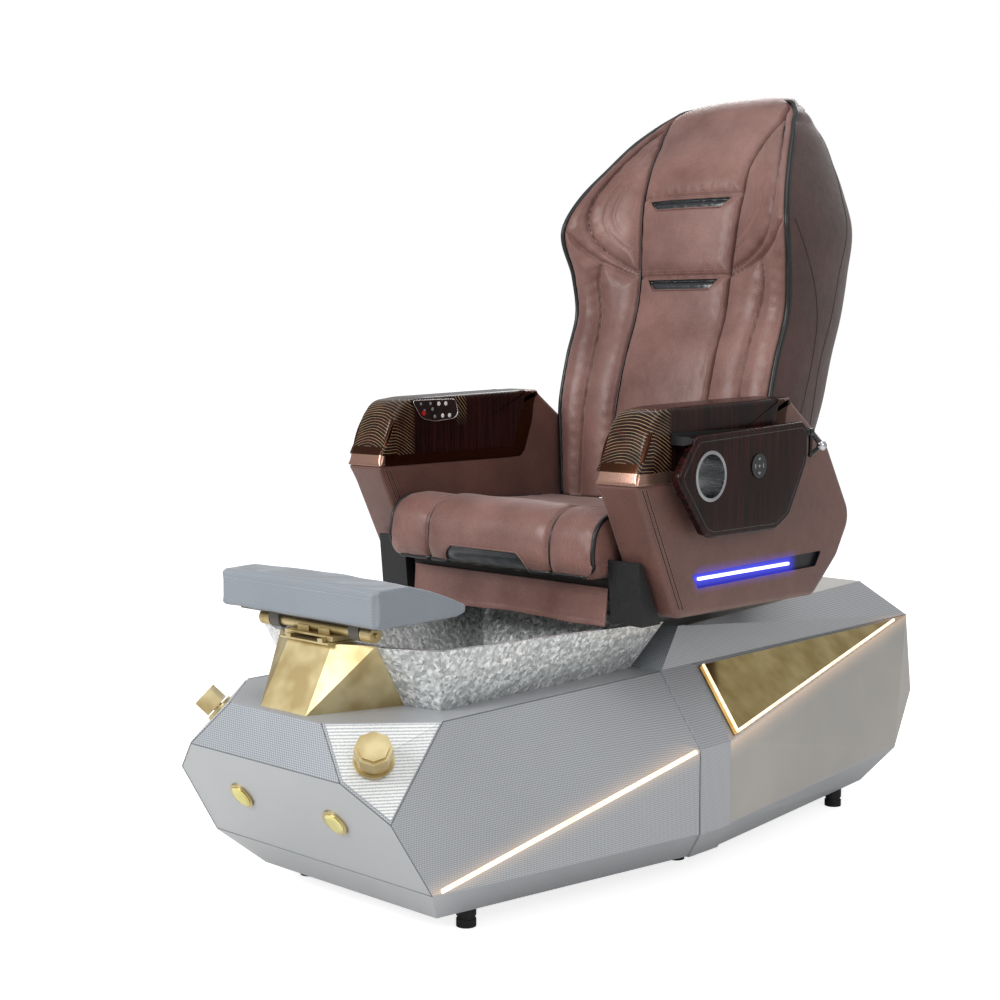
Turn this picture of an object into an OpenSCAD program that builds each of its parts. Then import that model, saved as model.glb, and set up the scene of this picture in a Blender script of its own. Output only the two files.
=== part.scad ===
// Pedicure spa chair: faceted foot-spa base, sliding massage seat, reclining back,
// lifting arms with side trays. The front faces -Y, the sitter's left is +X.

/* [Overall] */
// Length of the base from nose to tail
base_len = 1630; // [1500:5:1800]
// Height of the deck round the foot basin
deck_z = 369; // [350:1:380]
// Height of the flat top under the seat
plateau_z = 440; // [425:1:450]
// Clearance between parts that move past each other
run_gap = 2; // [1:0.5:3]
// Clearance between parts that are fitted together
fit_gap = 0.3; // [0.2:0.05:0.6]
// Thickness of the moulded shells
shell_t = 9; // [7:0.5:12]

/* [Base shell] */
// Height of the shell's underside above the floor
keel_z = 38; // [30:1:45]
// Height of the lower edge of the side panels
sill_z = 103; // [90:1:115]
// Width between the two crest lines
crest_w = 492; // [470:2:520]
// Width at the widest crease
waist_w = 750; // [700:2:800]
// Height of the widest crease
waist_z = 254; // [235:1:275]
// Width of the nose along its top edge
nose_w = 380; // [340:2:400]
// Height of the nose edge
nose_z = 291; // [275:1:305]
// Width of the front face at its widest corner
cheek_w = 530; // [500:2:560]
// Height of that corner
cheek_z = 232; // [215:1:245]
// Width of the front face along its lower edge
chin_w = 548; // [520:2:580]
// How far the lower edge lies behind the nose
chin_back = 116; // [90:1:140]
// Width of the deck's front edge
prow_w = 230; // [200:2:260]
// How far the deck's front edge lies behind the nose
prow_back = 28; // [15:1:40]
// How far the front ends of the crest lines lie behind the nose
crest_back = 169; // [140:1:200]
// Width of the underside at its front
keel_w = 436; // [400:2:460]
// How far the underside starts behind the nose
keel_back = 180; // [160:1:210]
// Width of the centre band along the chair
band_w = 90; // [70:1:110]
// Place of the band's front edge on the crest line
band_y = -90; // [-110:1:-70]
// How far the band leans forward at the waist
band_lean = 50; // [30:1:60]
// How far the band stands proud of the shells
band_proud = 2.5; // [1.5:0.5:4]

/* [Rear housing] */
// Width of the flat top at its front
top_front_w = 462; // [430:2:480]
// Width of the flat top at its rear
top_rear_w = 320; // [260:2:360]
// How far the flat top's rear corner lies before the tail
top_rear_back = 88; // [70:1:110]
// How far the crest lines end before the tail
crest_end_back = 35; // [25:1:50]
// Width of the tail at its rearmost edge
tail_w = 482; // [440:2:500]
// Height of the rearmost edge
tail_z = 197; // [180:1:215]
// Width of the lower rear corner
heel_w = 580; // [560:2:620]
// How far the lower rear corner lies before the tail
heel_back = 147; // [120:1:170]
// Depth of the recess that holds the mirror panel
mirror_depth = 5; // [4:0.5:7]
// Thickness of the mirror panel
mirror_t = 3; // [2:0.5:4]

/* [Foot basin] */
// Width of the basin where it passes the deck
basin_w = 372; // [350:2:390]
// Width of the basin rim at its front
rim_front_w = 450; // [430:2:466]
// Width of the basin rim at its rear
rim_rear_w = 466; // [440:2:480]
// Height of the rim at the front
rim_front_z = 476; // [460:1:482]
// Height of the rim at the rear
rim_rear_z = 456; // [445:1:462]
// Width of the short front wall of the basin
basin_prow_w = 230; // [200:2:260]
// How far the basin's front wall lies behind the nose
basin_front_in = 208; // [195:1:225]
// How far the rim overhangs that front wall
rim_reach = 65; // [45:1:75]
// Place of the basin's rear wall
basin_rear_y = -104; // [-120:1:-98]
// Thickness of the basin wall
basin_t = 10; // [8:0.5:13]
// Height of the basin's outer bottom
basin_floor_z = 150; // [135:1:170]
// Radius of the drain hole
drain_r = 24; // [18:0.5:30]
// Radius of the water jet's opening
jet_r = 34; // [26:0.5:38]
// Height of the water jet's axis
jet_z = 250; // [235:1:265]

/* [Footrest] */
// Width of the footrest pad
pad_w = 390; // [360:2:420]
// Depth of the footrest pad, front to back
pad_d = 202; // [180:2:230]
// Height of the pad's front edge above the floor
pad_top_z = 583; // [570:1:600]
// Thickness of the pad at its front
pad_t = 63; // [50:1:72]
// How far the pad's front edge lies behind the nose
pad_front_in = 72; // [55:1:90]
// Width of the pedestal's front face at its foot
pedestal_w = 114; // [100:2:130]
// Height of the pedestal's top
pedestal_z = 478; // [465:1:484]
// How far the footrest slides each way
footrest_travel = 30; // [15:1:35]
// Radius of the bar that the footrest tilts on
tilt_bar_r = 9; // [7:0.5:10]

/* [Fittings] */
// Across-flats size of the octagonal mixer knob
knob_af = 57; // [50:1:62]
// Height of the mixer knob
knob_h = 33; // [26:1:38]
// Side of the square hand-spray head
spray_side = 36; // [30:1:40]
// Radius of the hand-spray stem
spray_stem_r = 9; // [7:0.5:11]
// Outer diameter of the round front buttons
button_d = 50; // [44:1:54]
// Distance between the two front buttons
button_pitch = 238; // [210:2:260]
// Height of the front buttons on the front face
button_z = 205; // [190:1:215]
// How far a front button travels
press_travel = 3; // [2:0.25:4]
// Radius of a levelling foot
foot_r = 17; // [14:1:20]

/* [Seat] */
// Width of the seat cushion
seat_w = 508; // [490:2:512]
// Place of the seat cushion's front
seat_front_y = -299; // [-320:1:-285]
// Height of the cushion's front edge
seat_top_z = 676; // [660:1:690]
// Thickness of the cushion
seat_t = 122; // [110:1:128]
// Place of the cushion's rear end
seat_rear_y = 166; // [150:1:174]
// How far the seat slides forward and back
seat_travel = 75; // [50:1:90]
// Height of the skirt flap
skirt_h = 84; // [70:1:90]
// Place of the skirt flap
skirt_y = -232; // [-245:1:-225]
// Spacing of the slide rails
rail_pitch = 300; // [260:2:320]
// Height of the slide rails
rail_h = 16; // [12:1:20]

/* [Backrest] */
// Height of the top of the back
back_top_z = 1450; // [1400:2:1500]
// Height of the recline hinge
hinge_z = 585; // [570:1:600]
// Place of the recline hinge
hinge_y = 250; // [240:1:262]
// Radius of the recline hinge pins
hinge_r = 10; // [8:0.5:12]
// Half the back's greatest width
back_half_w = 280; // [262:1:290]
// Depth of the back's shell from the piping to the rear
back_depth = 380; // [340:2:400]
// Height range of the massage carriage, one way
massage_travel = 150; // [100:2:180]

/* [Arms] */
// Distance of an arm's inner face from the centre
arm_in_x = 269; // [268:0.5:274]
// Width of an arm
arm_w = 91; // [80:1:100]
// Length of an arm
arm_len = 671; // [640:1:700]
// Height of an arm's underside above the floor
arm_low_z = 484; // [478:1:490]
// Height of an arm from its underside to its top
arm_h = 380; // [360:1:395]
// Place of an arm's front end
arm_front_y = -304; // [-320:1:-290]
// Thickness of the metal trim between wood and upholstery
trim_h = 16; // [12:1:20]
// Radius of the pins that the arms lift on
arm_pin_r = 8; // [6:0.5:10]

/* [Trays] */
// Thickness of a side tray
tray_t = 18; // [14:1:22]
// Length of a side tray
tray_len = 391; // [360:1:400]
// Height of a side tray
tray_h = 193; // [175:1:205]
// Inner radius of the cup holder
cup_r = 38; // [34:1:41]
// Depth of the cup holder
cup_depth = 62; // [50:1:64]
// Radius of the tray's hinge pins
tray_pin_r = 4; // [3:0.5:5]
// Radius of the round control pad
dial_r = 22; // [18:1:25]
// Radius of the ball on the lock handle
ball_r = 10; // [8:1:12]

/* [Hidden] */
$fn = 48;
cut = 1;
seam_cut = 10;
seam_gap = 1.2;
nose_y = -base_len / 2;
tail_y = base_len / 2;
edge_t = 2;
ring_steps = 6;
nose_fall = chin_back / (nose_z - sill_z);
face_tilt = atan(nose_fall);
crest_x = crest_w / 2;
waist_x = waist_w / 2;
plateau_y = band_y + band_w;
basin_front_y = nose_y + basin_front_in;
pad_front_y = nose_y + pad_front_in;
keel_side_in = 63;
keel_tail_in = 35;
keel_tail_back = 78;
wall_slope_share = 0.97;

function mirrored(p) = [-p[0], p[1], p[2]];
function part_way(a, b, s) = a + (b - a) * s;
function ring(half) = concat(half, [for (i = [len(half) - 1 : -1 : 0]) mirrored(half[i])]);
function strip_cap(n, at) = [for (i = [0 : n / 2 - 2]) [at + i, at + i + 1, at + n - 2 - i,
    at + n - 1 - i]];
function turned(faces) = [for (f = faces) [for (i = [len(f) - 1 : -1 : 0]) f[i]]];
function side_faces(n, m) = [for (k = [0 : m - 2]) for (i = [0 : n - 1])
    let (j = (i + 1) % n, a = k * n, b = a + n) each [[a + i, b + i, b + j], [a + i, b + j, a + j]]];
function unit_of(v) = v / norm(v);
function lined(table, at, col) = lookup(at, [for (row = table) [row[0], row[col]]]);

// A solid through rings that are alike on both sides of the chair's middle plane
module loft(rings, cap = []) {
    n = len(rings[0]);
    m = len(rings);
    start = len(cap) > 0 ? cap : strip_cap(n, 0);
    finish = [for (f = start) [for (i = f) i + (m - 1) * n]];
    polyhedron(points = [for (r = rings) each r], faces = concat(side_faces(n, m), start, turned(finish)));
}
module both_sides() { children(); mirror([1, 0, 0]) children(); }
// Flat plate from a side view's outline, given as y and z, from x0 outwards
module side_plate(outline, x0, thick)
    translate([x0, 0, 0]) rotate([90, 0, 90]) linear_extrude(height = thick) polygon(outline);
module rod(a, b, r) {
    d = b - a;
    translate(a) rotate([0, acos(d[2] / norm(d)), atan2(d[1], d[0])]) cylinder(h = norm(d), r = r);
}
module x_rod(x0, x1, y, z, r) translate([x0, y, z]) rotate([0, 90, 0]) cylinder(h = x1 - x0, r = r);
module y_rod(y0, y1, x, z, r) translate([x, y1, z]) rotate([90, 0, 0]) cylinder(h = y1 - y0, r = r);
module block(low, high) translate(low) cube(high - low);
module tube_box(low, high, wall, way) {
    difference() {
        block(low, high);
        block([for (i = [0 : 2]) low[i] + (i == way ? -cut : wall)],
            [for (i = [0 : 2]) high[i] + (i == way ? cut : -wall)]);
    }
}
// Outward direction of a facet whose corners run clockwise seen from outside
function outward(corners) = unit_of(cross(corners[2] - corners[0], corners[1] - corners[0]));
module prism(corners, below, above) {
    way = outward(corners);
    all = concat([for (p = corners) p - way * below], [for (p = corners) p + way * above]);
    hull() polyhedron(points = all, faces = [[for (i = [0 : len(all) - 1]) i]]);
}

// Corners of the front shell on the +X side, moved inwards by g
function deck_corner(g) = [crest_x - g, nose_y + crest_back, deck_z - g];
function cheek(g) = [cheek_w / 2 - g, nose_y + (nose_z - cheek_z) * nose_fall + g, cheek_z];
function chin(g) = [chin_w / 2 - g, nose_y + chin_back + g, sill_z + g / 2];
function chin_under(g) = chin(g) - [0, 0, edge_t];
function keel_front(g) = [keel_w / 2 - g / 2, nose_y + keel_back + g, keel_z + g];
function prow(g) = [prow_w / 2 - g / 2, nose_y + prow_back + g, deck_z - g];
nose_wall_share = 1.2;
function nose(g) = [nose_w / 2 - g, nose_y + g * nose_wall_share, nose_z];
// Joint between shells and band: upright at the sides, leaning back above the waist and under the sill
function seam_y(z, y) = y - band_lean * min((deck_z - z) / (deck_z - waist_z),
    (z - keel_z) / (sill_z - keel_z), 1);
function top_at(g, y) = [crest_x - g, seam_y(deck_z - g, y), deck_z - g];
function waist_at(g, y) = [waist_x - g, seam_y(waist_z, y), waist_z];
function sill_at(g, y) = [waist_x - g, seam_y(sill_z + g / 2, y), sill_z + g / 2];
function keel_at(g, y) = [waist_x - keel_side_in - g / 2, seam_y(keel_z + g, y), keel_z + g];
function front_half(g) = [deck_corner(g), cheek(g), chin(g), chin_under(g), keel_front(g)];
function band_half(g, y) = [top_at(g, y), part_way(top_at(g, y), waist_at(g, y), 0.5), waist_at(g, y),
    sill_at(g, y), keel_at(g, y)];

module front_form(g, past) {
    a = front_half(g);
    b = band_half(g, band_y + past);
    rings = [for (k = [0 : ring_steps]) ring([for (i = [0 : 4]) part_way(a[i], b[i], k / ring_steps)])];
    n = 10;
    m = ring_steps + 1;
    e = n * m;
    extra = [prow(g), nose(g), mirrored(nose(g)), mirrored(prow(g))];
    nose_faces = [[e + 3, 9, 0, e], [e, 0, e + 1], [0, 1, e + 1], [e + 3, e, e + 1, e + 2],
        [e + 2, 9, e + 3], [e + 2, 8, 9], [e + 2, e + 1, 1, 8], [8, 1, 2, 7], [7, 2, 3, 6], [6, 3, 4, 5]];
    polyhedron(points = concat([for (r = rings) each r], extra),
        faces = concat(side_faces(n, m), nose_faces, turned(strip_cap(n, (m - 1) * n))));
}

// Corners of the rear housing on the +X side
function top_corner(g, y) = [top_front_w / 2 - g, y, plateau_z - g];
function crest_end(g) = [crest_x - g, tail_y - crest_end_back - g / 2, deck_z - g];
function heel(g) = [heel_w / 2 - g, tail_y - heel_back - g, sill_z - edge_t + g / 2];
function keel_tail(g) = [heel_w / 2 - keel_tail_in - g / 2, tail_y - heel_back - keel_tail_back - g,
    keel_z + g];
function tail(g) = [tail_w / 2 - g, tail_y - g, tail_z];
function top_end(g) = [top_rear_w / 2 - g, tail_y - top_rear_back - g / 2, plateau_z - g];
function rear_start(g, y) = [top_corner(g, y), top_at(g, y), waist_at(g, y), sill_at(g, y), keel_at(g, y)];

module rear_form(g, past) {
    a = ring(rear_start(g, plateau_y - past));
    b = ring([top_end(g), crest_end(g), crest_end(g) - [0, 0, edge_t], heel(g), keel_tail(g)]);
    extra = [tail(g), mirrored(tail(g))];
    tail_faces = [[10, 19, 18, 11], [11, 18, 17, 12], [12, 17, 21, 20], [20, 21, 16, 13], [13, 16, 15, 14],
        [12, 20, 13], [17, 16, 21]];
    polyhedron(points = concat(a, b, extra), faces = concat(side_faces(10, 2), strip_cap(10, 0),
        tail_faces));
}

// Basin: a flared rim above the deck and a tub below it
tub_prow_w = 150;
tub_w = 284;
tub_front_in = 51;
tub_front_y = basin_front_y + tub_front_in;
side_start = 14;
rim_side_start = 43;
rim_prow_w = 270;
rim_rear_back = 40;
drain_y = -330;
function basin_deck(g) = [[basin_prow_w / 2 - g / 2, basin_front_y + g],
    [basin_w / 2 - g, basin_front_y + side_start + g],
    [basin_w / 2 - g, basin_rear_y - g]];
// Smallest solid round a list of corners and their mirror images
module hull_of(corners) {
    all = concat(corners, [for (p = corners) mirrored(p)]);
    hull() polyhedron(points = all, faces = [[for (i = [0 : len(all) - 1]) i]]);
}
function at_height(plan, z) = [for (p = plan) [p[0], p[1], z]];
module basin_outer() {
    hull_of(concat(at_height(basin_deck(0), deck_z), [[rim_prow_w / 2, basin_front_y - rim_reach,
        rim_front_z],
        [rim_front_w / 2, basin_front_y - rim_reach + rim_side_start, rim_front_z],
        [rim_rear_w / 2, basin_rear_y + rim_rear_back, rim_rear_z]]));
    hull_of(concat(at_height(basin_deck(0), deck_z), [[tub_prow_w / 2, tub_front_y, basin_floor_z],
        [tub_w / 2, tub_front_y + side_start, basin_floor_z], [tub_w / 2, basin_rear_y, basin_floor_z]]));
}
module basin_inner() {
    g = basin_t;
    hull_of(concat(at_height(basin_deck(g), deck_z), [[rim_prow_w / 2 - g / 2,
        basin_front_y - rim_reach + g, rim_front_z + cut],
        [rim_front_w / 2 - g, basin_front_y - rim_reach + rim_side_start + g, rim_front_z + cut],
        [rim_rear_w / 2 - g, basin_rear_y + rim_rear_back - g, rim_rear_z + cut]]));
    hull_of(concat(at_height(basin_deck(g), deck_z), [[tub_prow_w / 2, tub_front_y + g, basin_floor_z + g],
        [tub_w / 2 - g, tub_front_y + side_start + g, basin_floor_z + g],
            [tub_w / 2 - g, basin_rear_y - g, basin_floor_z + g]]));
}
module basin() color([0.86, 0.88, 0.9]) difference() {
    basin_outer();
    basin_inner();
    translate([0, drain_y, basin_floor_z - cut]) cylinder(h = basin_t + 2 * cut, r = drain_r);
    y_rod(basin_rear_y - basin_t - cut, basin_rear_y + cut, 0, jet_z, jet_r);
}

// Facets beside the nose, with the mixer knob on one and the hand spray on the other
panel_t = 2;
panel_in_share = 0.06;
facet = [prow(0), deck_corner(0), nose(0)];
facet_way = outward(facet);
facet_mid = (prow(0) + deck_corner(0) + nose(0) + cheek(0)) / 4;
fitting_at = facet_mid + facet_way * ((nose(0) - facet_mid) * facet_way);
collar_r = 27;
spray_collar_r = 20;
collar_h = 7;
collar_in = 26;
shaft_r = 6;
shaft_gap = 0.05;
knob_cap_h = 8;
spray_gap = 10;
spray_h = 30;
spray_rise = 26;
spray_hole_r = 1.5;
spray_holes = 3;
flange_lip = 6;
function collar_of(side) = side > 0 ? collar_r : spray_collar_r;

module on_facet(side) {
    turn = atan2(facet_way[1], facet_way[0]);
    mirror([side < 0 ? 1 : 0, 0, 0]) translate(fitting_at) rotate([0, 0, turn])
        rotate([0, acos(facet_way[2]), 0]) translate([side < 0 ? -spray_rise : 0, 0, 0]) children();
}
module on_front(x) translate([x, nose_y + (nose_z - button_z) * nose_fall, button_z])
    rotate([90 + face_tilt, 0, 0]) children();

button_in = 9;
bezel_rim = 5;
bezel_h = 4;
button_h = 10;
button_r = button_d / 2 - bezel_rim;
module front_button(x) on_front(x) {
    translate([0, 0, bezel_h + press_travel - button_h]) cylinder(h = button_h - edge_t, r = button_r);
    translate([0, 0, bezel_h + press_travel - edge_t - cut / 2]) cylinder(h = edge_t + cut / 2,
        r1 = button_r - fit_gap, r2 = button_r - bezel_rim);
}

module front_shell() color([0.72, 0.74, 0.75]) difference() {
    front_form(0, -fit_gap);
    front_form(shell_t, seam_cut);
    translate([0, 0, deck_z - 2 * shell_t]) linear_extrude(height = 3 * shell_t) {
        plan = basin_deck(-fit_gap);
        polygon(concat(plan, [for (i = [2 : -1 : 0]) [-plan[i][0], plan[i][1]]]));
    }
    for (side = [-1, 1]) {
        on_facet(side) translate([0, 0, -collar_in])
            cylinder(h = 2 * collar_in, r = collar_of(side) + fit_gap);
        on_front(side * button_pitch / 2) translate([0, 0, -2 * button_in])
            cylinder(h = 3 * button_in, r = button_d / 2 + fit_gap);
    }
    front_grooves(fit_gap);
}
light_r = 4;
light_start_share = 0.03;
light_end_share = 0.985;
module front_grooves(gap) both_sides() {
    a = chin(0);
    b = waist_at(0, band_y);
    rod(part_way(a, b, light_start_share), part_way(a, b, light_end_share), light_r + gap);
}
mirror_in = 9;
function mirror_corners() = let (a = top_at(0, plateau_y), b = waist_at(0, plateau_y), c = crest_end(0),
    m = (a + b + c) / 3)
    [for (p = [a, c, b]) p + unit_of(m - p) * mirror_in];
module mirror_recess() both_sides() prism(mirror_corners(), mirror_depth, 2 * mirror_depth);
inlet_w = 48;
inlet_h = 27;
inlet_z = 240;
inlet_x = -120;
inlet_in = 46;
inlet_lip = 4;
inlet_face = 5;
drain_pipe_r = 12;
drain_pipe_wall = 2.5;
drain_pipe_x = 20;
drain_pipe_drop = 42;
drain_pipe_z = basin_floor_z - drain_pipe_drop;
module rear_shell() color([0.72, 0.74, 0.75]) difference() {
    rear_form(0, -fit_gap);
    difference() {
        rear_form(shell_t, seam_cut);
        both_sides() prism(mirror_corners(), mirror_depth + shell_t, 0);
    }
    mirror_recess();
    translate([inlet_x - inlet_w / 2 - fit_gap, tail_y - inlet_in, inlet_z - inlet_h / 2 - fit_gap])
        cube([inlet_w + 2 * fit_gap, 2 * inlet_in, inlet_h + 2 * fit_gap]);
    y_rod(tail_y - heel_back - keel_tail_back, tail_y, drain_pipe_x, drain_pipe_z, drain_pipe_r + fit_gap);
}
module centre_band() color([0.8, 0.82, 0.84]) difference() {
    p = -band_proud;
    lean = (plateau_z - deck_z) * wall_slope_share;
    start = band_y + seam_gap;
    end = plateau_y - seam_gap;
    loft([ring(concat([top_corner(p, band_y + lean)], band_half(p, start))),
        ring(concat([top_corner(p, end)], band_half(p, end)))]);
    g = shell_t;
    low = band_half(g, band_y - seam_cut);
    past = plateau_y + seam_cut;
    loft([ring(concat([top_corner(g, band_y + lean), top_at(g, band_y - cut)], [for (i = [1 : 4]) low[i]])),
        ring(concat([top_corner(g, past)], band_half(g, past)))]);
}
module deck_panels() color([0.9, 0.91, 0.92]) for (side = [-1, 1]) difference() {
    corners = [prow(0), deck_corner(0), cheek(0), nose(0)];
    mid = part_way(corners[1], corners[3], 0.5);
    near = [for (p = corners) part_way(p, mid, panel_in_share) + facet_way * fit_gap];
    to_side(side) {
        prism([near[0], near[1], near[3]], 0, panel_t);
        prism([near[1], near[2], near[3]], 0, panel_t);
    }
    on_facet(side) translate([0, 0, -collar_in]) cylinder(h = 2 * collar_in, r = collar_of(side) + fit_gap);
}
module mirror_panels() color([0.83, 0.72, 0.42]) both_sides() {
    way = outward(mirror_corners());
    mid = (mirror_corners()[0] + mirror_corners()[1] + mirror_corners()[2]) / 3;
    prism([for (p = mirror_corners()) part_way(p, mid, panel_in_share) - way * (mirror_depth - fit_gap)],
        0, mirror_t);
}
rear_light_r = 3;
rear_light_in_share = 0.1;
module base_lights() color([1, 0.93, 0.8]) {
    front_grooves(0);
    c = mirror_corners();
    way = outward(c);
    mid = (c[0] + c[1] + c[2]) / 3;
    lift = rear_light_r - mirror_depth + mirror_t + fit_gap;
    r = [for (p = c) part_way(p, mid, rear_light_in_share) + way * lift];
    both_sides() { rod(r[2], r[1], rear_light_r); rod(r[2], r[0], rear_light_r); }
}
strainer_r = 34;
strainer_t = 3;
strainer_hole_r = 2.5;
module drain_strainer() color([0.8, 0.8, 0.82])
    translate([0, drain_y, basin_floor_z + basin_t]) difference() {
    union() {
        cylinder(h = strainer_t, r = strainer_r);
        translate([0, 0, -basin_t]) cylinder(h = basin_t + cut, r = drain_r - fit_gap);
    }
    translate([0, 0, -basin_t - cut]) cylinder(h = basin_t + cut, r = drain_r - strainer_t);
    for (a = [0 : 45 : 315]) rotate([0, 0, a]) translate([drain_r - strainer_t * 3, 0, -basin_t])
        cylinder(h = 2 * basin_t, r = strainer_hole_r);
}
pump_r = 42;
pump_h = 56;
pump_motor_r = 30;
pump_motor_l = 60;
module drain_pump() color([0.2, 0.2, 0.22]) difference() {
    union() {
        translate([0, drain_y, basin_floor_z - pump_h]) cylinder(h = pump_h, r = pump_r);
        x_rod(-pump_r - pump_motor_l, 0, drain_y, basin_floor_z - pump_h / 2, pump_motor_r - strainer_t);
        y_rod(drain_y, tail_y - heel_back + drain_pipe_r * 2, drain_pipe_x, drain_pipe_z, drain_pipe_r);
    }
    translate([0, drain_y, drain_pipe_z]) cylinder(h = pump_h, r = drain_r - strainer_t);
    y_rod(drain_y, tail_y, drain_pipe_x, drain_pipe_z, drain_pipe_r - drain_pipe_wall);
}
jet_lip = 10;
jet_lip_t = 6;
jet_wall = 3;
jet_bars = 4;
jet_bar_w = 5;
motor_r = 38;
motor_l = 58;
motor_flange_t = 6;
blade_r = 26;
blade_t = 3;
impeller_l = 7;
module jet_housing() color([0.9, 0.9, 0.92]) {
    wet = basin_rear_y - basin_t;
    difference() {
        union() {
            y_rod(wet - jet_lip_t, wet, 0, jet_z, jet_r + jet_lip);
            y_rod(wet - cut, basin_rear_y, 0, jet_z, jet_r - fit_gap);
        }
        y_rod(wet - jet_lip_t - cut, basin_rear_y + cut, 0, jet_z, jet_r - jet_wall - fit_gap);
    }
    for (i = [0 : jet_bars - 1]) translate([0, wet - jet_lip_t, jet_z]) rotate([0, i * 180 / jet_bars, 0])
        translate([-jet_r, 0, -jet_bar_w / 2]) cube([2 * jet_r, jet_wall, jet_bar_w]);
}
module jet_motor() color([0.25, 0.26, 0.28]) difference() {
    union() {
        y_rod(basin_rear_y, basin_rear_y + motor_flange_t, 0, jet_z, jet_r + jet_lip);
        y_rod(basin_rear_y, basin_rear_y + motor_l, 0, jet_z, motor_r);
    }
    y_rod(basin_rear_y - cut, basin_rear_y + motor_l / 2, 0, jet_z, shaft_r + shaft_gap);
}
module jet_impeller() color([0.3, 0.5, 0.8]) {
    y0 = basin_rear_y - cut - impeller_l;
    y_rod(y0, y0 + impeller_l, 0, jet_z, 2 * shaft_r);
    y_rod(y0, basin_rear_y + motor_l / 2 - 2 * cut, 0, jet_z, shaft_r);
    for (a = [0 : 60 : 300]) translate([0, y0, jet_z]) rotate([0, a, 0])
        translate([shaft_r, 0, -blade_t / 2]) cube([blade_r - shaft_r, impeller_l, blade_t]);
}

// Steel frame inside the shells
steel_w = 30;
steel_wall = 2.5;
frame_front_in = 255;
frame_rear_in = 249;
frame_front_y = nose_y + frame_front_in;
frame_rear_y = tail_y - frame_rear_in;
post_y = 60;
post_pitch = 360;
post_ys = [post_y, post_y + post_pitch];
bearer_in = 40;
bearer_rear_in = 76;
bearer_ys = [frame_front_y + bearer_in, basin_rear_y - bearer_rear_in];
module base_frame() color([0.35, 0.36, 0.38]) {
    low = keel_z + shell_t;
    under = plateau_z - shell_t;
    x0 = rail_pitch / 2 - steel_w / 2;
    x1 = rail_pitch / 2 + steel_w / 2;
    both_sides() {
        tube_box([x0, frame_front_y, low], [x1, frame_rear_y, low + steel_w], steel_wall, 1);
        for (y = post_ys) tube_box([x0, y, low + steel_w], [x1, y + steel_w, under - steel_w], steel_wall,
            2);
        for (y = bearer_ys) tube_box([x0, y, low + steel_w], [x1, y + steel_w, basin_floor_z - steel_w],
            steel_wall, 2);
        tube_box([x0, post_ys[0] - steel_w, under - steel_w], [x1, post_ys[1] + 4 * steel_w, under],
            steel_wall, 1);
    }
    for (y = bearer_ys) tube_box([-x1, y, basin_floor_z - steel_w], [x1, y + steel_w, basin_floor_z],
        steel_wall, 0);
    for (y = post_ys) tube_box([-x0, y, under - steel_w], [x0, y + steel_w, under], steel_wall, 0);
}
feet_shares = [[0.533, 0.164, 0], [0.608, 0.491, 1], [0.653, 0.807, 0]];
foot_groove = 2;
module levelling_feet() color([0.08, 0.08, 0.09]) both_sides() for (s = feet_shares)
    translate([waist_x * s[0], nose_y + base_len * s[1], 0]) {
        cylinder(h = keel_z / 3, r = foot_r);
        cylinder(h = keel_z * 2 / 3, r = foot_r - foot_groove);
        translate([0, 0, keel_z / 2]) cylinder(h = keel_z / 2 - band_proud * s[2], r = foot_r);
    }

// Pedestal and footrest
pedestal_front_in = 45;
pedestal_front_y = nose_y + pedestal_front_in;
pedestal_lean = 60;
pedestal_narrow = 6;
pedestal_flare = 5;
function basin_front_at(z) = basin_front_y - rim_reach * (z - deck_z) / (rim_front_z - deck_z);
module pedestal() color([0.83, 0.7, 0.42]) hull_of([
    [pedestal_w / 2, pedestal_front_y, deck_z], [(pedestal_w - pedestal_narrow) / 2,
        pedestal_front_y + pedestal_lean, pedestal_z],
    [basin_prow_w / 2, basin_front_at(deck_z) - fit_gap, deck_z],
    [basin_prow_w / 2 + pedestal_flare, basin_front_at(pedestal_z) - fit_gap, pedestal_z]]);
slide_plate_t = 3;
slide_rail_t = 6;
slide_rail_w = 12;
slide_rail_x = 40;
slide_half_w = 60;
slide_half_l = footrest_travel + edge_t;
bar_in = 18;
bar_y = pedestal_front_y + pedestal_lean + bar_in;
carriage_t = 3.5;
carriage_half_l = 22;
bar_z = pedestal_z + slide_plate_t + slide_rail_t + 2 * fit_gap + carriage_t + tilt_bar_r;
bar_half_l = 140;
barrel_l = 26;
barrel_wall = 4;
barrel_r = tilt_bar_r + barrel_wall;
lug_w = 24;
screw_r = 3;
board_t = 5;
module footrest_rails() color([0.8, 0.68, 0.4]) {
    block([-slide_half_w, bar_y - slide_half_l, pedestal_z], [slide_half_w, bar_y + slide_half_l,
        pedestal_z + slide_plate_t]);
    both_sides() block([slide_rail_x - slide_rail_w / 2, bar_y - slide_half_l,
        pedestal_z + slide_plate_t - cut / 2],
        [slide_rail_x + slide_rail_w / 2, bar_y + slide_half_l, pedestal_z + slide_plate_t + slide_rail_t]);
}
module footrest_carriage() color([0.85, 0.73, 0.45]) {
    top = bar_z - tilt_bar_r - fit_gap;
    saddle = tilt_bar_r + edge_t;
    block([-slide_half_w, bar_y - carriage_half_l, top - carriage_t],
        [slide_half_w, bar_y + carriage_half_l, top]);
    both_sides() {
        block([slide_rail_x + slide_rail_w / 2 + fit_gap, bar_y - carriage_half_l,
            top - carriage_t - slide_rail_t + cut],
            [slide_half_w, bar_y + carriage_half_l, top]);
        block([slide_rail_w, bar_y - saddle, top - cut], [slide_rail_x, bar_y + saddle, bar_z]);
        x_rod(bar_half_l - barrel_l, bar_half_l, bar_y, bar_z, barrel_r);
        x_rod(bar_half_l - cut, bar_half_l + board_t, bar_y, bar_z, screw_r + cut);
    }
    x_rod(-bar_half_l, bar_half_l, bar_y, bar_z, tilt_bar_r);
}
board_low = pad_top_z - pad_t - fit_gap - board_t;
board_in = 24;
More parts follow.
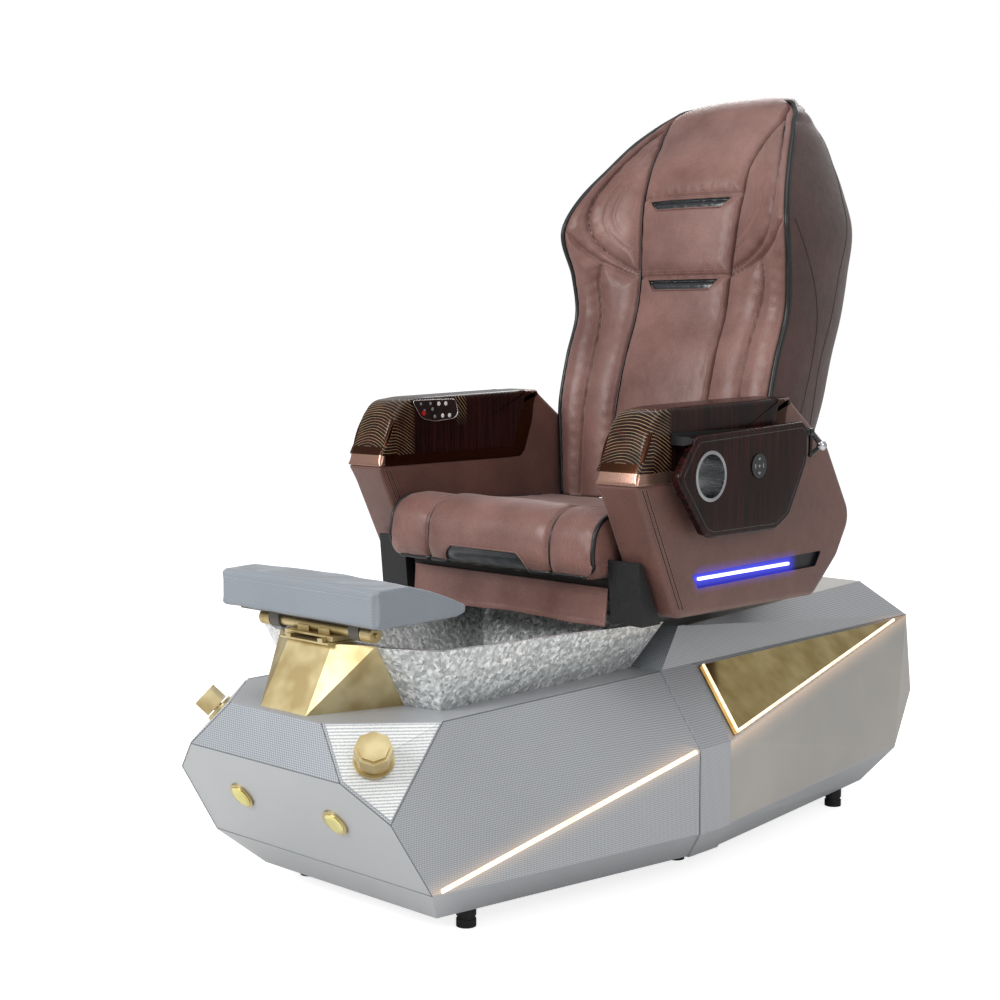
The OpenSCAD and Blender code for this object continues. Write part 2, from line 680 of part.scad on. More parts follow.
module footrest_board() color([0.3, 0.28, 0.26]) {
    block([-pad_w / 2 + board_in, pad_front_y + board_in, board_low],
        [pad_w / 2 - board_in, pad_front_y + pad_d - board_in, board_low + board_t]);
    both_sides() difference() {
        x1 = bar_half_l - barrel_l - run_gap;
        union() {
            x_rod(x1 - lug_w, x1, bar_y, bar_z, barrel_r);
            block([x1 - lug_w, bar_y - barrel_r, bar_z], [x1, bar_y + barrel_r, board_low + cut]);
        }
        x_rod(x1 - 2 * lug_w, x1 + cut, bar_y, bar_z, tilt_bar_r + shaft_gap);
    }
}
pad_shares = [[0, 0.96, 0.08, 0.9], [0.04, 1, 0, 0.98], [0.36, 1, 0, 1], [0.62, 0.99, 0, 0.76],
    [0.88, 0.96, 0, 0.44],
    [1, 0.9, 0.1, 0.3]];
pad_round = 12;
pad_crown = 5;
pad_ring = 7;
module footrest_pad() color([0.62, 0.65, 0.68]) {
    low = pad_top_z - pad_t;
    loft([for (s = pad_shares) let (w = pad_w / 2 * s[1], z0 = low + pad_t * s[2], z1 = low + pad_t * s[3],
            y = pad_front_y + pad_d * s[0], r = min(pad_round, (z1 - z0) / 3))
        ring(concat([for (i = [0 : pad_ring]) let (u = (i + 0.5) / (pad_ring + 1)) [(w - r) * u, y,
            z1 + pad_crown * cos(u * 90) - pad_crown * s[0]]],
            [for (a = [90 : -30 : -90]) [w - r + r * cos(a), y, (a > 0 ? z1 - r : z0 + r) + r * sin(a)]],
            [[w / 3, y, z0 + fit_gap]]))]);
}

// Gold fittings on the front
module fitting_collars() color([0.83, 0.7, 0.42]) {
    for (side = [-1, 1]) {
        bore = (side > 0 ? shaft_r : spray_stem_r) + shaft_gap;
        on_facet(side) difference() {
            union() {
                translate([0, 0, -collar_in]) cylinder(h = collar_in + collar_h, r = collar_of(side));
                translate([0, 0, panel_t + 2 * fit_gap]) cylinder(h = collar_h - panel_t - 2 * fit_gap,
                    r = collar_of(side) + flange_lip);
            }
            translate([0, 0, -collar_in - cut]) cylinder(h = 2 * collar_in, r = bore);
        }
        on_front(side * button_pitch / 2) difference() {
            translate([0, 0, -button_in]) cylinder(h = button_in + bezel_h, r = button_d / 2);
            translate([0, 0, edge_t - button_in]) cylinder(h = 2 * button_in, r = button_r + fit_gap);
            translate([0, 0, -2 * button_in]) cylinder(h = 2 * button_in, r = screw_r + shaft_gap);
        }
    }
}
module mixer_knob() color([0.78, 0.6, 0.36]) on_facet(1) {
    h0 = collar_h + fit_gap;
    translate([0, 0, h0]) cylinder(h = knob_cap_h, r = collar_r);
    translate([0, 0, h0 + knob_cap_h]) cylinder(h = knob_h - knob_cap_h, r = knob_af / 2 / cos(22.5),
        $fn = 8);
    translate([0, 0, h0 + knob_h]) cylinder(h = knob_cap_h / 2, r = collar_r - edge_t, $fn = 8);
    translate([0, 0, -collar_in / 2]) cylinder(h = collar_in / 2 + h0 + cut, r = shaft_r);
}
module hand_spray() color([0.75, 0.58, 0.35]) on_facet(-1) difference() {
    union() {
        translate([-spray_side / 2, -spray_side / 2, spray_gap]) cube([spray_side, spray_side, spray_h]);
        translate([0, 0, -collar_in]) cylinder(h = collar_in + spray_gap + cut, r = spray_stem_r);
    }
    pitch = spray_side / (spray_holes + 1);
    for (i = [1 : spray_holes]) for (j = [1 : spray_holes])
        translate([i * pitch - spray_side / 2, j * pitch - spray_side / 2, spray_gap + spray_h - edge_t])
            cylinder(h = 2 * edge_t, r = spray_hole_r);
}
module press_button(x) {
    front_button(x);
    on_front(x) translate([0, 0, -button_in - edge_t]) cylinder(h = button_in, r = screw_r);
}
module jet_button() color([0.85, 0.72, 0.45]) press_button(button_pitch / 2);
module drain_button() color([0.85, 0.72, 0.45]) press_button(-button_pitch / 2);

box_w = 100;
box_l = 120;
box_h = 84;
box_in = 385;
box_y = tail_y - box_in;
module control_box() color([0.2, 0.21, 0.23]) {
    floor_z = keel_z + shell_t;
    block([-box_w - steel_w / 2, box_y, floor_z], [-steel_w / 2, box_y + box_l, floor_z + box_h]);
    face_y = tail_y - crest_end_back * (inlet_z - inlet_h / 2 - inlet_lip - tail_z) / (deck_z - tail_z);
    block([inlet_x - inlet_w / 2, tail_y - inlet_in + cut, inlet_z - inlet_h / 2],
        [inlet_x + inlet_w / 2, face_y + cut, inlet_z + inlet_h / 2]);
    difference() {
        block([inlet_x - inlet_w / 2 - inlet_lip, face_y + fit_gap / 2, inlet_z - inlet_h / 2 - inlet_lip],
            [inlet_x + inlet_w / 2 + inlet_lip, face_y + inlet_face, inlet_z + inlet_h / 2 + inlet_lip]);
        block([inlet_x - inlet_w / 3, face_y + inlet_face / 2, inlet_z - inlet_h / 3],
            [inlet_x + inlet_w / 3, face_y + 2 * inlet_face, inlet_z + inlet_h / 3]);
    }
}
shoe_l = 80;
shoe_y = 90;
shoe_pitch = 250;
shoe_ys = [shoe_y, shoe_y + shoe_pitch];
rail_end = 5;
rail_front_y = shoe_ys[0] - seat_travel - rail_end;
rail_rear_y = shoe_ys[1] + shoe_l + seat_travel + 3 * rail_end;
rail_w = 28;
module slide_rails() color([0.6, 0.62, 0.65]) both_sides()
    block([rail_pitch / 2 - rail_w / 2, rail_front_y, plateau_z],
        [rail_pitch / 2 + rail_w / 2, rail_rear_y, plateau_z + rail_h]);

// Drive that slides the seat
drive_r = 12;
drive_rod_r = 7;
drive_lift = 15;
drive_z = plateau_z + drive_lift;
drive_y = 70;
drive_l = 180;
drive_rod_start = 95;
drive_lug_y = 335;
drive_lug_t = 12;
gearbox = 50;
module slide_motor() color([0.3, 0.31, 0.33]) difference() {
    union() {
        y_rod(drive_y, drive_y + drive_l, 0, drive_z, drive_r);
        block([-gearbox / 2, drive_y - cut, plateau_z], [gearbox / 2, drive_y + gearbox,
            drive_z + drive_r]);
        block([gearbox / 2 - cut, drive_y, plateau_z], [2 * gearbox, drive_y + gearbox * 2 / 3,
            drive_z + drive_r]);
    }
    y_rod(drive_y + cut, drive_y + drive_l + cut, 0, drive_z, drive_rod_r + shaft_gap);
}

// Seat frame: shoes on the rails, two side tubes and three cross tubes
shoe_low = plateau_z + rail_h + fit_gap;
shoe_h = 36;
shoe_top = plateau_z + shoe_h;
shoe_w = 40;
shoe_lip = 9;
side_tube_front = -210;
side_tube_rear = 372;
cross_ys = [-190, 20, 310];
pan_t = 18;
cross_top = seat_top_z - seat_t - fit_gap - pan_t;
cross_out = 2;
cross_half = seat_w / 2 + cross_out;
ear_t = 8;
ear_x = seat_w / 2 - ear_t;
ear_r = 22;
module seat_frame() color([0.2, 0.2, 0.21]) {
    mid = rail_pitch / 2;
    tube_top = shoe_top + steel_w;
    both_sides() {
        for (y = shoe_ys) difference() {
            block([mid - shoe_w / 2, y, shoe_low - shoe_lip], [mid + shoe_w / 2, y + shoe_l, shoe_top]);
            block([mid - rail_w / 2 - fit_gap, y - cut, shoe_low - 2 * shoe_lip],
                [mid + rail_w / 2 + fit_gap, y + shoe_l + cut, shoe_low]);
        }
        tube_box([mid - steel_w / 2, side_tube_front, shoe_top],
            [mid + steel_w / 2, side_tube_rear, tube_top], steel_wall, 1);
        x_rod(ear_x, ear_x + ear_t, hinge_y, hinge_z, ear_r);
        side_plate([[hinge_y - ear_r, hinge_z], [cross_ys[2] - ear_r, tube_top],
            [cross_ys[2] + steel_w, tube_top],
            [cross_ys[2] + steel_w, cross_top + ear_r], [hinge_y + ear_r, hinge_z]], ear_x, ear_t);
        x_rod(ear_x - ear_t - 2 * run_gap, ear_x + cut, hinge_y, hinge_z, hinge_r);
    }
    for (y = cross_ys) tube_box([-ear_x, y, tube_top], [ear_x, y + steel_w, cross_top], steel_wall, 0);
    for (y = cross_ys) both_sides() block([ear_x, y, tube_top], [cross_half, y + steel_w, cross_top]);
    y_rod(drive_y + drive_rod_start, drive_lug_y + cut, 0, drive_z, drive_rod_r);
    block([-gearbox / 3, drive_lug_y, drive_z - drive_rod_r],
        [gearbox / 3, drive_lug_y + drive_lug_t, tube_top + cut]);
    block([-mid + steel_w / 2 - cut, drive_lug_y, tube_top - drive_lug_t],
        [mid - steel_w / 2 + cut, drive_lug_y + drive_lug_t, tube_top]);
}
pan_in = 4;
pan_rear_y = 190;
module seat_pan() color([0.55, 0.42, 0.28])
    block([-seat_w / 2 + pan_in, skirt_y + edge_t, cross_top],
        [seat_w / 2 - pan_in, pan_rear_y, seat_top_z - seat_t - fit_gap]);

// Seat cushion: a middle channelled off from two side rolls, with a rounded nose
seat_shares = [[0, 0.96, 0.3, 0.62], [0.02, 0.99, 0.12, 0.88], [0.06, 1, 0.04, 0.98], [0.2, 1, 0, 1.01],
    [0.45, 0.99, 0, 0.97],
    [0.75, 0.98, 0, 0.9], [0.96, 0.97, 0, 0.86], [1, 0.94, 0.05, 0.8]];
channel_share = 0.61;
middle_shares = [0.06, 0.3, 0.55, 0.8, 0.94];
side_shares = [0.08, 0.35, 0.7];
channel_deep = 7;
seat_crown = 9;
roll_rise = 12;
seat_round = 22;
module seat_cushion() color([0.5, 0.36, 0.34]) {
    low = seat_top_z - seat_t;
    loft([for (s = seat_shares) let (w = seat_w / 2 * s[1], z0 = low + seat_t * s[2],
        z1 = low + seat_t * s[3],
            y = seat_front_y + (seat_rear_y - seat_front_y) * s[0], xc = seat_w / 2 * channel_share,
                r = seat_round)
        ring(concat(
            [for (u = middle_shares) [xc * u, y, z1 - roll_rise + seat_crown * cos(u * 90)]],
            [[xc, y, z1 - roll_rise - channel_deep]],
            [for (u = side_shares) [xc + (w - r - xc) * u, y,
                z1 - roll_rise + roll_rise * sin(u * 130) - (u < 0.1 ? channel_deep / 3 : 0)]],
            [for (a = [75 : -25 : -75]) [w - r + r * cos(a), y,
                (a > 0 ? z1 - r - edge_t : z0 + r / 2) + (a > 0 ? r : r / 2) * sin(a)]],
            [[w / 2, y, z0]]))]);
}
skirt_t = 2.4;
skirt_wave = 5;
skirt_folds = 5;
skirt_steps = 28;
skirt_half_w = 244;
skirt_low = seat_top_z - seat_t - skirt_h;
skirt_levels = 4;
skirt_xs = [for (i = [0 : skirt_steps]) skirt_half_w * (-1 + 2 * i / skirt_steps)];
function sway(x, s) = skirt_wave * s * (sin(x / skirt_half_w * 90 * skirt_folds + 40) - 1) - fit_gap;
function skirt_row(s, z) = let (y = skirt_y + edge_t) concat(
    [for (i = [0 : skirt_steps]) [skirt_xs[i], y - skirt_t + sway(skirt_xs[i], s), z]],
    [for (i = [skirt_steps : -1 : 0]) [skirt_xs[i], y + sway(skirt_xs[i], s), z]]);
module skirt_flap() color([0.5, 0.36, 0.34])
    loft([for (k = [0 : skirt_levels]) let (s = k / skirt_levels)
        skirt_row(1 - s, part_way(skirt_low, cross_top + edge_t, s))]);
bracket_x = cross_half;
bracket_t = 9;
bracket_w = 70;
bracket_drop = 6;
bracket_h = 106;
bracket_low = arm_low_z - bracket_drop;
bracket_top = arm_low_z + bracket_h;
bracket_front = -243;
bracket_foot = 50;
bracket_neck = 10;
arm_pin_y = 270;
arm_pin_z = 560;
arm_pin_l = 30;
plate_low = 500;
plate_top = 540;
module arm_brackets() color([0.09, 0.09, 0.1]) both_sides() {
    side_plate([[bracket_front, bracket_low], [bracket_front + bracket_foot, bracket_low],
        [bracket_front + bracket_foot, bracket_low + run_gap],
        [bracket_front - bracket_neck / 2 + run_gap, bracket_top],
            [bracket_front - bracket_neck, bracket_top]], bracket_x, bracket_w);
    side_plate([[bracket_front + cut, plate_low], [arm_pin_y + 2 * ear_r, plate_low],
        [arm_pin_y + 2 * ear_r, plate_top],
        [bracket_front + cut, plate_top]], bracket_x, bracket_t);
    x_rod(bracket_x, bracket_x + bracket_t, arm_pin_y, arm_pin_z, ear_r);
    side_plate([[arm_pin_y - ear_r, plate_low], [arm_pin_y + ear_r, plate_low],
        [arm_pin_y + ear_r, arm_pin_z], [arm_pin_y - ear_r, arm_pin_z]],
        bracket_x, bracket_t);
    x_rod(bracket_x + cut, bracket_x + bracket_t + arm_pin_l, arm_pin_y, arm_pin_z, arm_pin_r);
}

// Backrest. Each row: height, half width, piping, panel and rear, as shares of the back's sizes
back_low_z = 640;
back_front_y = 200;
back_shares = [[0, 0.886, 0.013, 0.013, 0.71], [0.123, 0.914, 0.026, 0.032, 0.87],
    [0.233, 0.939, 0.04, 0.058, 0.987],
    [0.359, 0.946, 0.105, 0.132, 1.08], [0.474, 0.95, 0.19, 0.226, 1.17],
        [0.568, 0.971, 0.174, 0.263, 1.22],
    [0.698, 1, 0.116, 0.295, 1.24], [0.765, 0.936, 0.19, 0.329, 1.2], [0.841, 0.829, 0.329, 0.395, 1.145],
    [0.938, 0.661, 0.54, 0.579, 1.026], [0.984, 0.536, 0.671, 0.671, 0.908],
        [1, 0.43, 0.711, 0.711, 0.842]];
back_h = back_top_z - back_low_z;
function bend(a, b, c, d, t) =
    b + t / 2 * (c - a + t * (2 * a - 5 * b + 4 * c - d + t * (3 * (b - c) + d - a)));
back_rows = [for (i = [0 : len(back_shares) - 2]) let (e = len(back_shares) - 1) each [for (t = [0, 0.5])
    bend(back_shares[max(i - 1, 0)], back_shares[i], back_shares[i + 1], back_shares[min(i + 2, e)], t)]];
back_levels = concat(back_rows, [back_shares[len(back_shares) - 1]]);
function level(s, g) = let (k = back_low_z + g + s[0] * (back_h - 2 * g)) [k, s[1] * back_half_w - g,
    back_front_y + s[2] * back_depth, back_front_y + s[3] * back_depth,
        back_front_y + s[4] * back_depth - g];
shell_angles = [0, 14, 28, 42, 56, 70, 84];
side_round = 0.62;
rear_round = 0.9;
function shell_ring(s, g, front) = let (v = level(s, g)) ring(concat([[v[1], v[2] - front, v[0]]],
    [for (a = shell_angles) [v[1] * pow(cos(a), side_round),
        v[2] + edge_t + (v[4] - v[2] - edge_t) * pow(sin(a), rear_round), v[0]]]));
lean = atan(0.25);
lean_y = 315;
lean_z = 760;
module leaned() translate([0, lean_y, lean_z]) rotate([-lean, 0, 0]) children();
guide_x = rail_pitch / 2;
guide_low = -150;
carriage_low = 250;
carriage_high = 330;
guide_end = 80;
guide_high = carriage_high + massage_travel + guide_end;
module back_shell() color([0.29, 0.17, 0.15]) difference() {
    loft([for (s = back_levels) shell_ring(s, 0, 0)]);
    loft([for (s = back_levels) shell_ring(s, shell_t, 2 * back_half_w)]);
    leaned() both_sides() block([guide_x - steel_w / 2 - fit_gap, -steel_w / 2 - fit_gap, guide_low],
        [guide_x + steel_w / 2 + fit_gap, steel_w / 2 + fit_gap, 0]);
}
panel_w = 236;
pad_back = 50;
pad_seat = 32;
pad_groove = 6;
wing_puff = 16;
wing_shares = [0.12, 0.3, 0.5, 0.7, 0.88];
pad_taper_share = 0.955;
pad_depth_share = 0.4;
pad_seat_share = 0.6;
function pad_rear_y(v) = min(max(v[2], v[3]) + pad_back, part_way(v[2], v[4], pad_depth_share));
function pad_seat_at(v) = min(pad_seat, (pad_rear_y(v) - v[3]) * pad_seat_share);
// The cushion's end: from the rear corner to the front, then straight across the chair
cushion_corner = 9;
cushion_last = 2 * cushion_corner + 3;
half_cap = concat([for (i = [0 : cushion_corner - 2]) [i, i + 1, cushion_corner]],
    [[0, cushion_corner, cushion_corner + 1]]);
cushion_cap = concat(half_cap, [for (f = turned(half_cap)) [for (i = f) cushion_last - i]],
    [[0, cushion_corner + 1, cushion_last - cushion_corner - 1, cushion_last]]);
module back_cushion() color([0.52, 0.38, 0.36]) loft([for (s = back_levels)
    let (v = level(s, shell_t + fit_gap), p = min(panel_w / 2, v[1] - 2 * pad_groove), e = v[1] - p,
        yb = pad_rear_y(v), ys = v[3] + pad_seat_at(v))
    ring(concat([[p / 2, ys + edge_t / 2, v[0]], [p, ys, v[0]], [p + cut / 2, v[3] + pad_groove, v[0]]],
        [for (u = wing_shares) let (puff = min(wing_puff, e / 3))
            [p + e * u, part_way(v[3], v[2], u) - puff * sin(180 * u), v[0]]],
        [[v[1], v[2] + edge_t, v[0]], [v[1] * pad_taper_share, yb, v[0]], [p / 2, yb + edge_t, v[0]]]))],
    cushion_cap);
panel_puff = 9;
crown_end_share = 0.93;
seam_shares = [0.559, 0.758];
seam_half_share = 0.006;
function row_at(u) = [for (c = [0 : 4]) c == 0 ? u : lined(back_levels, u, c)];
panel_start_share = 0.02;
panel_end_share = 0.985;
function rows_between(a, b) = [for (r = back_levels) if (r[0] > a && r[0] < b) r[0]];
function seam_rows(s) = [s - 3 * seam_half_share, s, s + 3 * seam_half_share];
panel_us = concat([panel_start_share], rows_between(panel_start_share, seam_rows(seam_shares[0])[0]),
    seam_rows(seam_shares[0]),
    rows_between(seam_rows(seam_shares[0])[2], seam_rows(seam_shares[1])[0]), seam_rows(seam_shares[1]),
    rows_between(seam_rows(seam_shares[1])[2], panel_end_share));
module back_panel() color([0.56, 0.42, 0.4]) loft([for (u = panel_us)
    let (v = level(row_at(u), shell_t + fit_gap), ys = v[3] + pad_seat_at(v),
        p = min(panel_w / 2, v[1] - 2 * pad_groove) - fit_gap,
        dip = min([for (t = seam_shares) abs(u - t)]) < seam_half_share ? pad_groove : 0)
    ring([[p / 3, v[3] - panel_puff + dip, v[0]], [p * 2 / 3, v[3] - panel_puff * 4 / 5 + dip, v[0]],
        [p * crown_end_share, v[3] - edge_t + dip, v[0]],
        [p, v[3] + pad_groove, v[0]], [p, ys - edge_t / 2, v[0]], [p / 3, ys - fit_gap, v[0]]])]);

lever_x = 10.5;
lever_t = 6;
lever_r = 71;
lever_tilt = 15;
rod_z = hinge_z - lever_r * cos(lever_tilt);
rod_y = hinge_y + lever_r * sin(lever_tilt);
pin_r = 6;
slot_gap = 0.4;
cross_bar_y = 268;
cross_bar_z = 592;
module back_frame() color([0.2, 0.2, 0.21]) {
    plate_x = ear_x - ear_t - run_gap;
    leaned() {
        both_sides() tube_box([guide_x - steel_w / 2, -steel_w / 2, guide_low],
            [guide_x + steel_w / 2, steel_w / 2, guide_high], steel_wall, 2);
        tube_box([-guide_x + steel_w / 2, -steel_w / 2, guide_high - steel_w],
            [guide_x - steel_w / 2, steel_w / 2, guide_high], steel_wall, 0);
    }
    tube_box([-plate_x, cross_bar_y, cross_bar_z], [plate_x, cross_bar_y + steel_w,
        cross_bar_z + steel_w], steel_wall, 0);
    both_sides() difference() {
        union() {
            x_rod(plate_x, plate_x + ear_t, hinge_y, hinge_z, ear_r);
            block([plate_x, hinge_y, cross_bar_z], [plate_x + ear_t, cross_bar_y + steel_w,
                cross_bar_z + steel_w]);
        }
        x_rod(plate_x - cut, plate_x + ear_t + cut, hinge_y, hinge_z, hinge_r + shaft_gap);
    }
    both_sides() translate([0, hinge_y, hinge_z]) rotate([lever_tilt, 0, 0]) drive_lever();
}
module drive_lever() difference() {
    foot_z = cross_bar_z - hinge_z - edge_t;
    foot_y = (cross_bar_y - hinge_y - fit_gap + foot_z * sin(lever_tilt)) / cos(lever_tilt);
    union() {
        x_rod(lever_x, lever_x + lever_t, 0, -lever_r, pin_r + 2 * lever_t);
        block([lever_x, -lever_t * 2, -lever_r], [lever_x + lever_t, pin_r + lever_t * 2,
            cross_bar_z - hinge_z + lever_t]);
        block([lever_x, 0, foot_z], [lever_x + lever_t, foot_y, cross_bar_z - hinge_z + lever_t]);
    }
    for (s = [-1, 1]) x_rod(lever_x - cut, lever_x + lever_t + cut, 0, -lever_r + s * pin_r / 2,
        pin_r + slot_gap);
    block([lever_x - cut, -pin_r - slot_gap, -lever_r - pin_r / 2],
        [lever_x + lever_t + cut, pin_r + slot_gap, -lever_r + pin_r / 2]);
}
recline_body_y = cross_ys[1] + steel_w;
recline_body_l = 140;
recline_body_r = 15;
recline_rod_r = 8;
recline_rod_in = 158;
module recline_motor() color([0.3, 0.31, 0.33]) difference() {
    union() {
        y_rod(recline_body_y, recline_body_y + recline_body_l, 0, rod_z, recline_body_r);
        block([-recline_body_r * 2, recline_body_y, rod_z - recline_body_r],
            [0, recline_body_y + recline_body_l / 2, rod_z + recline_body_r]);
    }
    y_rod(recline_body_y + cut, recline_body_y + recline_body_l + cut, 0, rod_z, recline_rod_r + shaft_gap);
}
module recline_rod() color([0.75, 0.76, 0.78]) {
    y_rod(rod_y - recline_rod_in, rod_y, 0, rod_z, recline_rod_r);
    x_rod(-lever_x - lever_t - cut, lever_x + lever_t + cut, rod_y, rod_z, pin_r);
}
carriage_side = 12;
carriage_deep = 30;
carriage_back = 46;
roller_r = 26;
roller_w = 26;
roller_x = 62;
roller_bumps = 3;
bump_r = 9;
shaft_in_share = 0.75;
module massage_carriage() color([0.35, 0.36, 0.4]) leaned() {
    x1 = guide_x - steel_w / 2 - fit_gap;
    mid = (carriage_low + carriage_high) / 2;
    both_sides() difference() {
        block([x1 - carriage_side, -carriage_deep / 2, carriage_low], [x1, carriage_back, carriage_high]);
        x_rod(x1 - 2 * carriage_side, x1 + cut, 0, mid, shaft_r + shaft_gap);
    }
    block([-x1 + carriage_side - cut, carriage_back - carriage_side, carriage_low],
        [x1 - carriage_side + cut, carriage_back, carriage_high]);
    block([-gearbox, carriage_back - cut, carriage_low + carriage_side],
        [gearbox, carriage_back + gearbox, carriage_high - carriage_side]);
}
module massage_rollers() color([0.15, 0.15, 0.17]) leaned() {
    x1 = guide_x - steel_w / 2 - carriage_side * shaft_in_share;
    mid = (carriage_low + carriage_high) / 2;
    x_rod(-x1, x1, 0, mid, shaft_r);
    both_sides() {
        x_rod(roller_x, roller_x + roller_w, 0, mid, roller_r - bump_r);
        for (i = [0 : roller_bumps - 1]) let (a = i * 360 / roller_bumps)
            x_rod(roller_x, roller_x + roller_w, (roller_r - bump_r) * cos(a),
                mid + (roller_r - bump_r) * sin(a), bump_r);
    }
}

// Arms: a padded body with a rear cap, a metal trim and a wooden armrest
arm_shares = [[0, 0.639], [0.173, 0.013], [0.809, 0], [0.928, 0.179], [1, 0.379], [0.909, 0.639]];
cap_shares = [[0.55, 0.45], [0.975, 0.45], [0.87, 0.75], [0.669, 1], [0.62, 1], [0.557, 0.682]];
wood_shares = [[0.0075, 0.687], [0.052, 0.887], [0.089, 0.963], [0.173, 0.98], [0.62, 1], [0.557, 0.682],
    [0.0075, 0.682]];
arm_round = 9;
wood_round = 7;
trim_len = 374;
trim_low_share = 0.639;
light_shares = [[0.231, 0.208], [0.839, 0.218], [0.809, 0.153], [0.258, 0.145]];
light_recess = 8;
light_bar_shares = [[0.268, 0.175], [0.6855, 0.175], [0.6855, 0.189], [0.268, 0.189]];
light_bar_t = 5;
cup_y = -152;
cup_z = 738;
cup_wall = 2;
cup_flange = 6;
pocket_gap = 4;
pocket_drop = 15;
module to_side(s) { mirror([s < 0 ? 1 : 0, 0, 0]) children(); }
function arm_point(s) = [arm_front_y + arm_len * s[0], arm_low_z + arm_h * s[1]];
// Plate with bevelled edges, for an outline without inward corners
module padded_plate(shares, gap, r) {
    outline = [for (s = shares) arm_point(s)];
    hull() for (k = [0, 1]) let (e = k * r)
        translate([arm_in_x + r - e, 0, 0]) rotate([90, 0, 90])
            linear_extrude(height = arm_w - 2 * r + 2 * e) offset(delta = -gap - e) polygon(outline);
}
module cup_pocket() {
    r = cup_r + cup_wall + pocket_gap;
    x0 = tray_x + tray_t + cup_wall - cup_depth - pocket_gap;
    x1 = arm_in_x + arm_w + cut;
    x_rod(x0, x1, cup_y, cup_z, r);
    x_rod(x0, x1, cup_y, cup_z - pocket_drop, r);
    block([x0, cup_y - r, cup_z - pocket_drop], [x1, cup_y + r, cup_z]);
}
module arm_body() color([0.52, 0.38, 0.36]) difference() {
    union() {
        padded_plate(arm_shares, 0, arm_round);
        padded_plate(cap_shares, 0, arm_round);
    }
    x_rod(arm_in_x - cut, arm_in_x + arm_pin_l, arm_pin_y, arm_pin_z, arm_pin_r + shaft_gap);
    side_plate([for (s = light_shares) arm_point(s)], arm_in_x + arm_w - light_recess, 2 * light_recess);
    cup_pocket();
}
trim_low = arm_low_z + arm_h * trim_low_share;
module arm_trim() color([0.72, 0.5, 0.42]) difference() {
    block([arm_in_x, arm_front_y, trim_low], [arm_in_x + arm_w, arm_front_y + trim_len - 2 * arm_round,
        trim_low + trim_h]);
    cup_pocket();
}
module arm_wood() color([0.16, 0.05, 0.04]) difference() {
    padded_plate(wood_shares, fit_gap, wood_round);
    cup_pocket();
}
module arm_light() color([0.25, 0.45, 1])
    side_plate([for (s = light_bar_shares) arm_point(s)], arm_in_x + arm_w - light_recess, light_bar_t);
module arm_left() to_side(1) arm_body();
module arm_right() to_side(-1) arm_body();
module trim_left() to_side(1) arm_trim();
module trim_right() to_side(-1) arm_trim();
module wood_left() to_side(1) arm_wood();
module wood_right() to_side(-1) arm_wood();
module arm_light_left() to_side(1) arm_light();
module arm_light_right() to_side(-1) arm_light();

// Remote panel on the inner face of the right arm
remote_shares = [[0.122, 0.968], [0.3025, 0.968], [0.316, 0.8895], [0.298, 0.863], [0.2146, 0.8526],
    [0.162, 0.871]];
remote_t = 4;
key_share = [0.17, 0.9];
key_y = arm_point(key_share)[0];
key_z = arm_point(key_share)[1];
key_r = 5;
key_l = 3.2;
key_travel = 1;
key_floor = 1;
key_gap = 0.2;
module remote_panel() color([0.05, 0.05, 0.06]) difference() {
    side_plate([for (s = remote_shares) arm_point(s)], -arm_in_x, remote_t);
    x_rod(-arm_in_x + key_floor, -arm_in_x + 2 * remote_t, key_y, key_z, key_r + key_gap);
}
module power_key() color([0.8, 0.1, 0.08])
    x_rod(-arm_in_x + key_floor + key_travel + edge_t / 20, -arm_in_x + key_floor + key_travel + key_l,
        key_y, key_z, key_r);

// Side trays, each hung on two ears beside its arm
tray_x = 382;
tray_front_y = -244;
tray_low_z = 630;
tray_shares = [[0.138, 0.922], [0.96, 0.99], [1, 0.93], [1, 0.62], [0.857, 0.114], [0.747, 0], [0.258, 0],
    [0.2, 0.04], [0, 0.554]];
tray_edge = 3;
swing_x = tray_x + tray_t / 2;
swing_z = 800;
ear_in = 28;
ear_front_t = 13;
ear_back_t = 9;
ear_front = [tray_front_y + ear_in, tray_front_y + ear_in + ear_front_t];
ear_back = [tray_front_y + tray_len + run_gap, tray_front_y + tray_len + run_gap + ear_back_t];
boss_r = 7;
pin_in = 24;
dial_y = -10;
dial_z = 748;
dial_t = 8;
dial_proud = 2;
dial_travel = 1;
module tray() color([0.16, 0.05, 0.04]) difference() {
    outline = [for (s = tray_shares) [tray_front_y + tray_len * s[0], tray_low_z + tray_h * s[1]]];
    hull() for (k = [0, 1]) let (e = k * tray_edge)
        translate([tray_x + tray_edge - e, 0, 0]) rotate([90, 0, 90])
            linear_extrude(height = tray_t - 2 * tray_edge + 2 * e) offset(delta = -e) polygon(outline);
    x_rod(tray_x - cut, tray_x + tray_t + cut, cup_y, cup_z, cup_r + cup_wall + fit_gap);
    x_rod(tray_x + tray_t - dial_t - dial_travel, tray_x + tray_t + cut, dial_y, dial_z, dial_r + key_gap);
    y_rod(ear_front[1], ear_front[1] + pin_in + cut, swing_x, swing_z, tray_pin_r + shaft_gap);
    y_rod(ear_back[0] - pin_in - cut, ear_back[0], swing_x, swing_z, tray_pin_r + shaft_gap);
}
module cup() color([0.78, 0.79, 0.8]) difference() {
    x1 = tray_x + tray_t + cup_wall;
    union() {
        x_rod(x1 - cup_depth, x1, cup_y, cup_z, cup_r + cup_wall);
        x_rod(x1 - cup_wall, x1, cup_y, cup_z, cup_r + cup_flange);
    }
    x_rod(x1 - cup_depth + cup_wall, x1 + cut, cup_y, cup_z, cup_r);
}
module dial() color([0.05, 0.05, 0.06])
    x_rod(tray_x + tray_t + dial_proud - dial_t, tray_x + tray_t + dial_proud, dial_y, dial_z, dial_r);
hinge_plate_t = 5.7;
hinge_plate_h = 20;
